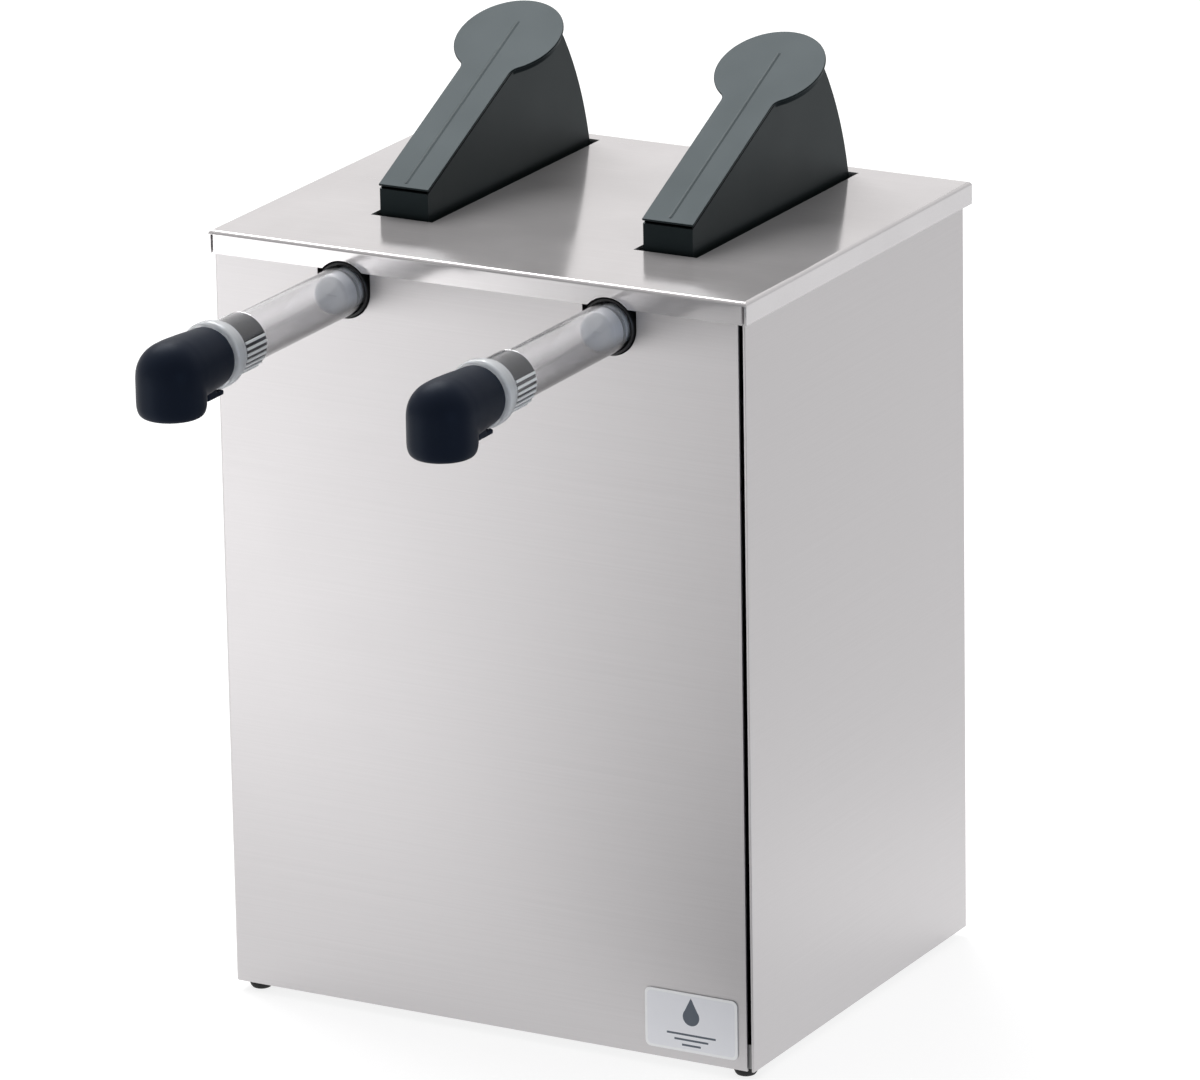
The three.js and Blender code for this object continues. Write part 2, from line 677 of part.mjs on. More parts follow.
// Smooth ring between the collar and the spout.
function spoutRing(x) {
  const rear = tubeFrontY - collarLength;
  const front = rear - ringLength + gap;
  const inner = ringRadius - ringChamfer;
  return turnedAlongY([
    [collarBore, front], [inner, front], [ringRadius, front + ringChamfer],
    [ringRadius, rear - ringGroove - ringChamfer], [inner, rear - ringGroove], [inner, rear],
    [collarBore, rear], [collarBore, front],
  ], x, tubeZ);
}

// Black elbow: a barrel with a thin sleeve behind it, a round knee and a short drop to the outlet.
// A small tab under the ring keeps the spout pointing down.
function spout(x) {
  const sleeveRear = tubeFrontY - gap;
  const kneeInner = dropRadius - spoutWall;
  const tabHalf = 4;
  const tabLength = 14;
  const tabRear = barrelRearY + 6;
  const tabTop = tubeZ - ringRadius - gap;
  const tabBottom = tabTop - 2.8;
  const knee = (radius, flats, rings) =>
    solid(new THREE.SphereGeometry(radius, flats, rings).rotateX(Math.PI / 2).translate(x, dropY, tubeZ));
  const outer = joined(
    rodAlongY(sleeveRadius, barrelRearY - 1, sleeveRear, x, tubeZ),
    rodAlongY(barrelRadius, dropY, barrelRearY, x, tubeZ),
    knee(dropRadius, segments, 14),
    rod(dropRadius, outletZ, tubeZ, x, dropY),
    block(x - tabHalf, x + tabHalf, tabRear - tabLength, tabRear, tabBottom, tabTop),
    block(x - tabHalf, x + tabHalf, tabRear - tabLength, barrelRearY - gap,
      tabBottom, tubeZ - barrelRadius + 1),
  );
  return cut(
    outer,
    rodAlongY(sleeveBore, tubeFrontY - tubeSpigot - 2, sleeveRear + 1, x, tubeZ),
    rodAlongY(flowBore, dropY, sleeveRear, x, tubeZ, smallSegments),
    knee(kneeInner, smallSegments, 8),
    rod(kneeInner, outletZ - 1, tubeZ, x, dropY, smallSegments),
  );
}

// Soft drip valve in the outlet, with a crossed slit.
function spoutValve(x) {
  const bottom = outletZ + valveInset;
  const top = bottom + valveThickness;
  const radius = dropRadius - spoutWall - gap;
  const slit = 0.4;
  const reach = radius - 8;
  return cut(
    rod(radius, bottom, top, x, dropY, smallSegments),
    block(x - reach, x + reach, dropY - slit, dropY + slit, bottom - 1, top + 1),
    block(x - slit, x + slit, dropY - reach, dropY + reach, bottom - 1, top + 1),
  );
}

// ---------- pump, moving pieces ----------
// Lever outline from the side, drawn inset from the outside by a wall's thickness or by nothing.
function leverProfile(inset, bottomZ) {
  const rise = Math.tan(leverSlope);
  const frontY = leverFrontY + inset;
  const radius = leverRearRadius - inset;
  const drop = inset / Math.cos(leverSlope);
  const topAt = (y) => lidTop + leverFrontHeight - drop + rise * (y - leverFrontY);
  // The sloping top meets the curved rear wall where both give the same point.
  let rearY = padY;
  for (let i = 0; i < 40; i += 1) {
    rearY = pivotY + Math.sqrt(radius ** 2 - (topAt(rearY) - pivotZ) ** 2);
  }
  const startTurn = Math.asin((bottomZ - pivotZ) / radius);
  const endTurn = Math.asin((topAt(rearY) - pivotZ) / radius);
  const shape = new THREE.Shape();
  shape.moveTo(frontY, bottomZ);
  shape.lineTo(pivotY + radius * Math.cos(startTurn), bottomZ);
  shape.absarc(pivotY, pivotZ, radius, startTurn, endTurn, false);
  shape.lineTo(frontY, topAt(frontY));
  return shape;
}

// Top plate in its own plane: the arm's strip running into the round palm pad with small fillets.
function padPlate() {
  const half = leverWidth / 2;
  const padAt = (padY - leverFrontY) / Math.cos(leverSlope);
  const reach = padRadius + padFillet;
  const side = half + padFillet;
  const filletAt = padAt - Math.sqrt(reach ** 2 - side ** 2);
  const meet = Math.atan2(padAt - filletAt, side);
  const shape = new THREE.Shape();
  shape.moveTo(-half, 0);
  shape.lineTo(half, 0);
  shape.absarc(side, filletAt, padFillet, Math.PI, Math.PI - meet, true);
  shape.absarc(0, padAt, padRadius, -meet, Math.PI + meet, false);
  shape.absarc(-side, filletAt, padFillet, meet, 0, true);
  const plate = extrude(shape, padThickness, 8).translate(0, 0, -padThickness);
  plate.rotateX(leverSlope).translate(0, leverFrontY, lidTop + leverFrontHeight);
  return solid(plate);
}

// Hollow lever, open underneath: sloping top with the palm pad, curved rear wall, two side walls
// with pivot ears at the front and slotted tabs that carry the plunger's pin.
function pumpLever(x) {
  const half = leverWidth / 2;
  const bottomZ = leverFootZ;
  const ear = polygon([
    [pivotY - earRadius, pivotZ], [pivotY + earRadius, pivotZ],
    [pivotY + 2.5 * earRadius, bottomZ + 1], [leverFrontY, bottomZ + 1],
  ]);
  const tab = polygon([
    [plungerY - tabRadius, pinZ], [plungerY + tabRadius, pinZ],
    [plungerY + 1.6 * tabRadius, bottomZ + 1], [plungerY - 1.6 * tabRadius, bottomZ + 1],
  ]);
  const outer = joined(
    sideways(leverProfile(0, bottomZ), -half, half, leverArcFlats),
    padPlate(),
    sideways(ear, -half, half),
    rodAlongX(earRadius, -half, half, pivotY, pivotZ),
    sideways(tab, -half, half),
    rodAlongX(tabRadius, -half, half, plungerY, pinZ),
  );
  const hollowHalf = half - leverWall;
  const hollow = sideways(leverProfile(leverWall, bottomZ), -hollowHalf, hollowHalf, leverArcFlats);
  const under = block(-hollowHalf, hollowHalf, pivotY - 3 * earRadius, lidRearY, 0, bottomZ + 0.5);
  const slot = new THREE.BoxGeometry(leverWidth + 4, pinSlotLength, 2 * (plungerPinRadius + gap));
  slot.rotateX(pressTurn / 2).translate(0, plungerY, pinZ);
  const lever = cut(
    outer, hollow, under, solid(slot),
    rodAlongX(pivotPinRadius + gap, -half - 2, half + 2, pivotY, pivotZ),
  );
  return lever.translate([x, 0, 0]);
}

// Piston, rod and square head in one moulding, with a groove for the seal and a hole for the pin.
function plunger(x) {
  const piston = cylinderBore - runningGap;
  const groove = cylinderBore - 2 * (gap + pistonSeal);
  const grooveHalf = pistonSeal + 0.7;
  const grooveLow = pistonSealZ - grooveHalf;
  const grooveHigh = pistonSealZ + grooveHalf;
  const headHalf = rodRadius + 1;
  const core = turned([
    [0, pistonBottom], [piston, pistonBottom], [piston, grooveLow], [groove, grooveLow],
    [groove, grooveHigh], [piston, grooveHigh], [piston, pistonTop], [rodRadius, pistonTop],
    [rodRadius, pinZ], [0, pinZ],
  ], x, plungerY);
  const head = block(
    x - headHalf, x + headHalf, plungerY - rodRadius, plungerY + rodRadius, pinZ - rodRadius, pinZ + rodRadius);
  const pinHole = rodAlongX(plungerPinRadius + gap, x - 2 * headHalf, x + 2 * headHalf, plungerY, pinZ);
  return cut(joined(core, head), pinHole);
}

// Seal ring in the piston's groove.
function plungerSeal(x) {
  const centre = [cylinderBore - gap - pistonSeal, pistonSealZ];
  return turned(circleProfile(pistonSeal, centre, sealFlats), x, plungerY);
}

// Cross pin that joins the plunger to the lever's slotted tabs.
function plungerPin(x) {
  const half = leverWidth / 2 + plungerPinProud;
  return rodAlongX(plungerPinRadius, x - half, x + half, plungerY, pinZ);
}

// ---------- assembly ----------
add('front_left_panel', frontPanel(), steel);
add('rear_right_panel', rearPanel(), steel);
add('base_tray', baseTray(), darkSteel);
add('lid', lid(), steel);
add('pump_shelf', pumpShelf(), darkSteel);
add('pouch_divider', pouchDivider(), darkSteel);
add('front_label', label(), labelFilm);

const footNames = ['front_left', 'front_right', 'rear_left', 'rear_right'];
footPlaces().forEach((place, i) => add(`foot_${footNames[i]}`, foot(place), rubber));

for (const [side, x] of [['left', -pumpX], ['right', pumpX]]) {
  add(`pump_body_${side}`, pumpBody(x), blackPlastic);
  add(`cylinder_cap_${side}`, cylinderCap(x), whitePlastic);
  add(`lever_pivot_pin_${side}`, leverPivotPin(x), pinSteel);
  add(`return_spring_${side}`, returnSpring(x), pinSteel);
  add(`suction_fitting_${side}`, suctionFitting(x), whitePlastic);
  add(`fitting_seal_${side}`, fittingSeal(x), sealRubber);
  add(`inlet_ball_${side}`, inletBall(x), pinSteel);
  add(`discharge_valve_${side}`, dischargeValve(x), whitePlastic);
  add(`tube_seal_${side}`, tubeSeal(x), sealRubber);
  add(`discharge_tube_${side}`, dischargeTube(x), clearPlastic);
  add(`spout_collar_${side}`, spoutCollar(x), clearPlastic);
  add(`spout_ring_${side}`, spoutRing(x), clearPlastic);
  add(`spout_${side}`, spout(x), blackPlastic);
  add(`spout_valve_${side}`, spoutValve(x), sealRubber);
  add(`pump_lever_${side}`, pumpLever(x), leverPlastic);
  add(`plunger_${side}`, plunger(x), whitePlastic);
  add(`plunger_seal_${side}`, plungerSeal(x), sealRubber);
  add(`plunger_pin_${side}`, plungerPin(x), pinSteel);
}

const frontmostY = dropY - dropRadius;
dispenser.position.y = -(frontmostY + lidRearY) / 2;

export default dispenser;
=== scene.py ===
import json
import math

import bmesh
import bpy
from mathutils import Matrix, Vector


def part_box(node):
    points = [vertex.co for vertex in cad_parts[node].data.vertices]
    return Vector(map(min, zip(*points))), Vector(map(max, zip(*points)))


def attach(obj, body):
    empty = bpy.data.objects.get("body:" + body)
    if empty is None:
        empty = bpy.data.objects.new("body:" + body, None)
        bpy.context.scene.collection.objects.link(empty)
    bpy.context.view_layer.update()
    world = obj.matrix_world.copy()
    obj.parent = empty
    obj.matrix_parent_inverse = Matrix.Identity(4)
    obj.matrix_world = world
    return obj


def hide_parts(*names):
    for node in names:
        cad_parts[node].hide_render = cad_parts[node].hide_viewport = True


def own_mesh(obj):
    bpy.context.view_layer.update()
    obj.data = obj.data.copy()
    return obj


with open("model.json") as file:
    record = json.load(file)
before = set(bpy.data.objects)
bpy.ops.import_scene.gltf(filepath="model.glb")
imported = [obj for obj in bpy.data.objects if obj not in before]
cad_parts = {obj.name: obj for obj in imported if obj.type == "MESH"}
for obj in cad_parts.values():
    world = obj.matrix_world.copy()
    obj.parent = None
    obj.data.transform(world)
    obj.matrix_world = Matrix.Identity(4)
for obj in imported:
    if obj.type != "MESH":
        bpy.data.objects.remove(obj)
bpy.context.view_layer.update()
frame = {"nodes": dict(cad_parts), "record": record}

mm = 0.001
scene = bpy.context.scene

# ---------------------------------------------------------------------------
# Counter and studio. The dispenser stands on a white table whose material glows: painted glow that keeps
# its shadows faint.
# The painted glow fades toward the front right and the far right, which paints soft shade on the steel from
# left to right. A large softbox hangs over the rear left, and a small cool one stands on the right.
table_mesh = bpy.data.meshes.new("table")
table = bmesh.new()
bmesh.ops.create_grid(table, x_segments=1, y_segments=1, size=30)
table.to_mesh(table_mesh)
table.free()
table_top = bpy.data.objects.new("table", table_mesh)
scene.collection.objects.link(table_top)

table_painted_glow = bpy.data.materials.new("table_white_painted_glow")
table_painted_glow.use_nodes = True
table_shader = table_painted_glow.node_tree.nodes["Principled BSDF"]
table_shader.inputs["Roughness"].default_value = 0.9
table_shader.inputs["Specular IOR Level"].default_value = 0.1
table_shader.inputs["Base Color"].default_value = (0.32, 0.32, 0.32, 1)
table_shader.inputs["Emission Strength"].default_value = 0.80


# How far a point lies along a direction, and a soft ramp from one value to another along the way.
def distance_along(tree, place, direction):
    node = tree.nodes.new("ShaderNodeVectorMath")
    node.operation = "DOT_PRODUCT"
    node.inputs[1].default_value = direction
    tree.links.new(place, node.inputs[0])
    return node.outputs["Value"]


def fade(tree, value, start, end, first, last):
    node = tree.nodes.new("ShaderNodeMapRange")
    node.interpolation_type = "SMOOTHSTEP"
    for label, setting in (("From Min", start), ("From Max", end), ("To Min", first), ("To Max", last)):
        node.inputs[label].default_value = setting
    tree.links.new(value, node.inputs["Value"])
    return node.outputs["Result"]


def mixed(tree, share, first, second):
    node = tree.nodes.new("ShaderNodeMix")
    node.data_type = "FLOAT"
    tree.links.new(share, node.inputs[0])
    for socket, value in ((node.inputs[2], first), (node.inputs[3], second)):
        if isinstance(value, (int, float)):
            socket.default_value = value
        else:
            tree.links.new(value, socket)
    return node.outputs[0]


table_tree = table_painted_glow.node_tree
on_table = table_tree.nodes.new("ShaderNodeTexCoord").outputs["Object"]
along_right = distance_along(table_tree, on_table, (0.874, -0.485, 0))
along_front = distance_along(table_tree, on_table, (0.485, -0.874, 0))
along_far_right = distance_along(table_tree, on_table, (0.905, 0.430, 0))
# Painted glow: the emission colour is a ramp that brightens the table at the left and fades it toward the
# front right and the far right.
across_panel = fade(table_tree, along_right, -0.18, 0.16, 2.7, 0.22)
in_front = fade(table_tree, along_front, 0.095, 0.17, 0.0, 1.0)
far_right = fade(table_tree, along_far_right, 0.34, 0.45, 1.0, 0.76)
painted_glow = mixed(table_tree, in_front, far_right, across_panel)
table_tree.links.new(painted_glow, table_shader.inputs["Emission Color"])
table_mesh.materials.append(table_painted_glow)

# The room itself is bright behind the dispenser on the left and dim in front of it on the right.
room = bpy.data.worlds.new("studio")
room.use_nodes = True
scene.world = room
scene.view_settings.view_transform = "Standard"
room_tree = room.node_tree
room_background = room_tree.nodes["Background"]
room_background.inputs["Color"].default_value = (1.0, 0.985, 0.98, 1)
toward = room_tree.nodes.new("ShaderNodeTexCoord").outputs["Generated"]
light_side = distance_along(room_tree, toward, (-0.55, 0.65, 0.52))
brightness = fade(room_tree, light_side, -0.75, 0.75, 0.12, 0.80)
room_tree.links.new(brightness, room_background.inputs["Strength"])


def softbox(name, place, aim, width, height, watts, colour=(1, 1, 1)):
    light = bpy.data.lights.new(name, "AREA")
    light.color = colour
    light.shape = "RECTANGLE"
    light.size = width
    light.size_y = height
    light.energy = watts
    lamp = bpy.data.objects.new(name, light)
    scene.collection.objects.link(lamp)
    lamp.location = place
    lamp.rotation_euler = (Vector(aim) - Vector(place)).to_track_quat("-Z", "Y").to_euler()


softbox("softbox_overhead", (-1.5, 1.2, 2.9), (0, 0, 0.3), 2.2, 2.0, 88)
softbox("softbox_cool_right", (2.8, -1.6, 0.7), (0, -0.1, 0.3), 1.2, 1.2, 13, (0.62, 0.78, 1.0))

# ---------------------------------------------------------------------------
# Camera: a long lens from the front right, looking a little down, rolled by about a degree.
look_at = Vector((0.06365, -0.0284, 0.25559))
view_turn = math.radians(29.05)
view_rise = math.radians(17.70)
view_roll = math.radians(-0.996)
view_distance = 4.164
film_width = 36
focal_length = 270.05
back = Vector((
    math.sin(view_turn) * math.cos(view_rise),
    -math.cos(view_turn) * math.cos(view_rise),
    math.sin(view_rise),
))
level_right = Vector((math.cos(view_turn), math.sin(view_turn), 0))
level_up = back.cross(level_right)
right = level_right * math.cos(view_roll) + level_up * math.sin(view_roll)
up = level_up * math.cos(view_roll) - level_right * math.sin(view_roll)

lens = bpy.data.cameras.new("camera")
lens.sensor_fit = "HORIZONTAL"
lens.sensor_width = film_width
lens.lens = focal_length
lens.clip_end = 100
camera = bpy.data.objects.new("camera", lens)
scene.collection.objects.link(camera)
camera_turn = Matrix((right, up, back)).transposed().to_4x4()
camera.matrix_world = Matrix.Translation(look_at + back * view_distance) @ camera_turn
scene.camera = camera

# ---------------------------------------------------------------------------
# Brushed stainless steel. Every sheet has been drawn through a belt: fine scratches run one way,
# the sheen varies a little from band to band, and handling leaves faint cloudy smudges.
def shared_effect(name, inputs, outputs):
    effect = bpy.data.node_groups.new(name, "ShaderNodeTree")
    for label, kind, value in inputs:
        socket = effect.interface.new_socket(name=label, in_out="INPUT", socket_type=kind)
        socket.default_value = value
    for label, kind in outputs:
        effect.interface.new_socket(name=label, in_out="OUTPUT", socket_type=kind)
    entry = effect.nodes.new("NodeGroupInput")
    leave = effect.nodes.new("NodeGroupOutput")
    return effect, entry, leave


def calculate(tree, kind, first, second):
    node = tree.nodes.new("ShaderNodeMath")
    node.operation = kind
    for socket, value in zip(node.inputs, (first, second)):
        if isinstance(value, (int, float)):
            socket.default_value = value
        else:
            tree.links.new(value, socket)
    return node.outputs[0]


def noise_on(tree, place, scale, detail, roughness=0.5):
    node = tree.nodes.new("ShaderNodeTexNoise")
    node.inputs["Scale"].default_value = scale
    node.inputs["Detail"].default_value = detail
    node.inputs["Roughness"].default_value = roughness
    tree.links.new(place, node.inputs["Vector"])
    return node.outputs["Fac"]


def tinted(tree, colour, tone):
    node = tree.nodes.new("ShaderNodeVectorMath")
    node.operation = "SCALE"
    tree.links.new(colour, node.inputs[0])
    tree.links.new(tone, node.inputs["Scale"])
    return node.outputs[0]


brushed, entry, leave = shared_effect(
    "brushed_grain",
    [("Colour", "NodeSocketColor", (0.7, 0.7, 0.7, 1)), ("Grain", "NodeSocketVector", (6, 6, 900)),
     ("Roughness", "NodeSocketFloat", 0.3), ("Streaks", "NodeSocketFloat", 0.1),
     ("Smudges", "NodeSocketFloat", 0.05)],
    [("Colour", "NodeSocketColor"), ("Roughness", "NodeSocketFloat"), ("Height", "NodeSocketFloat")],
)
place = brushed.nodes.new("ShaderNodeTexCoord").outputs["Object"]
stretch = brushed.nodes.new("ShaderNodeVectorMath")
stretch.operation = "MULTIPLY"
brushed.links.new(place, stretch.inputs[0])
brushed.links.new(entry.outputs["Grain"], stretch.inputs[1])
scratches = noise_on(brushed, stretch.outputs[0], 1.0, 5, 0.65)
clouds = noise_on(brushed, place, 22, 4, 0.6)
scratch_swing = calculate(brushed, "SUBTRACT", scratches, 0.5)
cloud_swing = calculate(brushed, "SUBTRACT", clouds, 0.5)
scratch_tone = calculate(brushed, "MULTIPLY", scratch_swing, entry.outputs["Streaks"])
cloud_tone = calculate(brushed, "MULTIPLY", cloud_swing, entry.outputs["Smudges"])
both = calculate(brushed, "ADD", scratch_tone, cloud_tone)
steel_tone = tinted(brushed, entry.outputs["Colour"], calculate(brushed, "ADD", both, 1.0))
brushed.links.new(steel_tone, leave.inputs["Colour"])
brushed.links.new(calculate(brushed, "ADD", entry.outputs["Roughness"], both), leave.inputs["Roughness"])
brushed.links.new(scratches, leave.inputs["Height"])


def finish_from(effect, name, values, bump_depth, metallic=0.0, specular=0.5, transmission=0.0, ior=1.45,
                tint=(1, 1, 1)):
    material = bpy.data.materials.new(name)
    material.use_nodes = True
    tree = material.node_tree
    shader = tree.nodes["Principled BSDF"]
    shader.inputs["Metallic"].default_value = metallic
    shader.inputs["Specular IOR Level"].default_value = specular
    shader.inputs["Transmission Weight"].default_value = transmission
    shader.inputs["IOR"].default_value = ior
    shader.inputs["Specular Tint"].default_value = (*tint, 1)
    group = tree.nodes.new("ShaderNodeGroup")
    group.node_tree = effect
    for label, value in values.items():
        group.inputs[label].default_value = value
    bump = tree.nodes.new("ShaderNodeBump")
    bump.inputs["Strength"].default_value = 1.0
    bump.inputs["Distance"].default_value = bump_depth
    tree.links.new(group.outputs["Colour"], shader.inputs["Base Color"])
    tree.links.new(group.outputs["Roughness"], shader.inputs["Roughness"])
    tree.links.new(group.outputs["Height"], bump.inputs["Height"])
    tree.links.new(bump.outputs["Normal"], shader.inputs["Normal"])
    return material


def steel(name, colour, grain, roughness, streaks, smudges, bump_depth, metallic=0.85):
    values = {"Colour": (*colour, 1), "Grain": grain, "Roughness": roughness,
              "Streaks": streaks, "Smudges": smudges}
    return finish_from(brushed, name, values, bump_depth, metallic=metallic)


case_steel = steel("case_brushed_steel", (0.60, 0.583, 0.588), (7, 7, 1100), 0.40, 0.14, 0.05, 0.000002)
lid_steel = steel("lid_brushed_steel", (0.72, 0.70, 0.703), (7, 1100, 1100), 0.13, 0.14, 0.14, 0.0000003,
                  metallic=0.64)
inner_steel = steel("inner_mill_steel", (0.30, 0.30, 0.30), (60, 60, 60), 0.5, 0.10, 0.15, 0.000004)
pin_steel = steel("ground_pin_steel", (0.66, 0.66, 0.67), (900, 30, 900), 0.22, 0.08, 0.05, 0.000002)
wire_steel = steel("drawn_wire_steel", (0.58, 0.58, 0.6), (300, 300, 60), 0.28, 0.10, 0.05, 0.000003)


# A finished piece is one object at the origin with its place in its mesh. Its bends are shaded
# smooth, its corners stay crisp, and it rides on the body of the node that it stands for.
def settle(piece):
    bpy.context.view_layer.update()
    shaped = bpy.data.meshes.new_from_object(piece.evaluated_get(bpy.context.evaluated_depsgraph_get()))
    piece.modifiers.clear()
    piece.data = shaped
    return piece


def object_from(name, shape):
    mesh = bpy.data.meshes.new(name)
    shape.to_mesh(mesh)
    shape.free()
    piece = bpy.data.objects.new(name, mesh)
    scene.collection.objects.link(piece)
    return piece


def body_from(name, shape):
    bmesh.ops.remove_doubles(shape, verts=shape.verts, dist=0.0000005)
    bmesh.ops.recalc_face_normals(shape, faces=shape.faces)
    return object_from(name, shape)


def combine(piece, how, *tools):
    for tool in tools:
        step = piece.modifiers.new(how, "BOOLEAN")
        step.operation = how
        step.solver = "EXACT"
        step.object = tool
        settle(piece)
        bpy.data.objects.remove(tool)
    return piece


def soften(piece, width, segments=2, angle=38):
    edge = piece.modifiers.new("soft_edges", "BEVEL")
    edge.width = width
    edge.segments = segments
    edge.limit_method = "ANGLE"
    edge.angle_limit = math.radians(angle)
    edge.miter_outer = "MITER_ARC"
    return piece


def finish_piece(piece, node, material, sharp=32):
    settle(piece)
    piece.data.materials.clear()
    piece.data.materials.append(material)
    piece.data.shade_smooth()
    piece.data.set_sharp_from_angle(angle=math.radians(sharp))
    flat_faces_first = piece.modifiers.new("normals", "WEIGHTED_NORMAL")
    flat_faces_first.keep_sharp = True
    flat_faces_first.weight = 100
    settle(piece)
    bodies = frame["record"]["behaviour"]["bodies"]
    body = next(name for name, nodes in bodies.items() if node in nodes)
    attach(piece, body)
    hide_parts(node)
    return piece


def box_between(shape, low, high):
    low, high = Vector(low), Vector(high)
    place = Matrix.Translation((low + high) / 2) @ Matrix.Diagonal((*(high - low), 1))
    bmesh.ops.create_cube(shape, size=1, matrix=place)


def brick(name, low, high):
    shape = bmesh.new()
    box_between(shape, low, high)
    return body_from(name, shape)


# ---------------------------------------------------------------------------
# Case: two stainless sheets of 1.2 mm, each bent once on a 2 mm radius. One makes the front and the
# left wall, the other the right wall and the rear. A narrow upright seam stays open between them.
def middle_of(node):
    low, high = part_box(node)
    return [(a + b) / 2 for a, b in zip(low, high)]


front_low, front_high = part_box("front_left_panel")
rear_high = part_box("rear_right_panel")[1]
sheet = 1.2 * mm
bend = 2.0 * mm
edge_break = 0.18 * mm
half_case = rear_high.x
case_front = front_low.y
case_rear = rear_high.y
case_foot = front_low.z
case_top = front_high.z
pump_x, _, tube_z = middle_of("discharge_tube_right")
boss_radius = 13.4 * mm
notch_radius = boss_radius + 0.6 * mm


def round_off(shape, parts, radius, affect="EDGES"):
    bmesh.ops.bevel(shape, geom=parts, offset=radius, offset_type="OFFSET", segments=8, profile=0.5,
                    affect=affect, material=-1)


# A folded surface is the outer face of the sheet, and the sheet's thickness lies inside it.
def sheet_from(name, shape):
    piece = object_from(name, shape)
    wall = piece.modifiers.new("sheet", "SOLIDIFY")
    wall.thickness = sheet
    wall.offset = -1
    wall.use_even_offset = True
    return settle(piece)


def bent_panel(name, corner, leg_x, leg_y):
    shape = bmesh.new()
    ends = [(corner[0] + leg_x, corner[1]), corner, (corner[0], corner[1] + leg_y)]
    points = [shape.verts.new((x, y, case_foot)) for x, y in ends]
    runs = [shape.edges.new(points[:2]), shape.edges.new(points[1:])]
    walls = bmesh.ops.extrude_edge_only(shape, edges=runs)["geom"]
    risen = [part for part in walls if isinstance(part, bmesh.types.BMVert)]
    bmesh.ops.translate(shape, verts=risen, vec=(0, 0, case_top - case_foot))
    fold = [edge for edge in shape.edges if len(edge.link_faces) == 2]
    round_off(shape, fold, bend)
    middle = Vector((0, (case_front + case_rear) / 2, 0))
    for face in shape.faces:
        if face.normal.dot(face.calc_center_median() - middle) < 0:
            face.normal_flip()
    return sheet_from(name, shape)


def along_y(name, radius, y0, y1, x, z, steps=64):
    shape = bmesh.new()
    middle = Matrix.Translation((x, (y0 + y1) / 2, z)) @ Matrix.Rotation(math.pi / 2, 4, "X")
    bmesh.ops.create_cone(shape, cap_ends=True, segments=steps, radius1=radius, radius2=radius,
                          depth=y1 - y0, matrix=middle)
    return body_from(name, shape)


leg = front_high.x - front_low.x
depth = case_rear - case_front
front_panel = bent_panel("front_and_left_panel", (-half_case, case_front), leg, depth)
rear_panel = bent_panel("rear_and_right_panel", (half_case, case_rear), -leg, -depth)
for x in (-pump_x, pump_x):
    notch_low = (x - notch_radius, case_front - 2 * sheet, tube_z)
    notch_high = (x + notch_radius, case_front + 2 * sheet, case_top + sheet)
    round_end = along_y("notch", notch_radius, notch_low[1], notch_high[1], x, tube_z)
    combine(front_panel, "DIFFERENCE", round_end)
    combine(front_panel, "DIFFERENCE", brick("notch", notch_low, notch_high))
finish_piece(soften(front_panel, edge_break), "front_left_panel", case_steel)
finish_piece(soften(rear_panel, edge_break), "rear_right_panel", case_steel)

# ---------------------------------------------------------------------------
# Lid: one sheet folded down on four sides. The front and rear flanges stop short of the side ones,
# which leaves an open slot at each corner. Two long slots let the levers through.
lid_low, lid_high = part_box("lid")
corner_slot = 1.3 * mm
lever_width = 27 * mm
slot_side = 3.2 * mm
slot_front = case_front + 54.5 * mm
slot_rear = case_front + 218.2 * mm
arch_radius = boss_radius + 0.8 * mm


def folded_lid():
    shape = bmesh.new()
    box_between(shape, lid_low, lid_high)
    open_side = [face for face in shape.faces if face.normal.z < -0.5]
    bmesh.ops.delete(shape, geom=open_side, context="FACES_ONLY")
    rim = [edge for edge in shape.edges if all(vert.co.z > lid_high.z - mm for vert in edge.verts)]
    round_off(shape, rim, bend)
    bmesh.ops.recalc_face_normals(shape, faces=shape.faces)
    if max(shape.faces, key=lambda face: face.calc_area()).normal.z < 0:
        bmesh.ops.reverse_faces(shape, faces=shape.faces)
    return sheet_from("lid_sheet", shape)


lid = folded_lid()
slot_half = lever_width / 2 + slot_side
for x in (-pump_x, pump_x):
    slot_low = (x - slot_half, slot_front, lid_high.z - 3 * sheet)
    slot_high = (x + slot_half, slot_rear, lid_high.z + sheet)
    combine(lid, "DIFFERENCE", brick("slot", slot_low, slot_high))
    arch = along_y("arch", arch_radius, lid_low.y - sheet, lid_low.y + 3 * sheet, x, tube_z)
    combine(lid, "DIFFERENCE", arch)
cut_depth = 1.5 * sheet
front_cut = (lid_low.y - sheet, lid_low.y + cut_depth)
rear_cut = (lid_high.y - cut_depth, lid_high.y + sheet)
for side in (-1, 1):
    ends = [side * (lid_high.x - sheet), side * (lid_high.x - sheet - corner_slot)]
    for y0, y1 in (front_cut, rear_cut):
        cut_low = (min(ends), y0, lid_low.z - sheet)
        cut_high = (max(ends), y1, lid_high.z - bend)
        combine(lid, "DIFFERENCE", brick("corner", cut_low, cut_high))
finish_piece(soften(lid, edge_break), "lid", lid_steel)

# ---------------------------------------------------------------------------
# Inner sheet work: base tray, pump shelf and pouch divider, in mill-finish stainless. They are
# plain folded sheets that nobody sees in use, so they keep their own shape.
for node in ("base_tray", "pump_shelf", "pouch_divider"):
    frame["nodes"][node].data.materials.clear()
    frame["nodes"][node].data.materials.append(inner_steel)

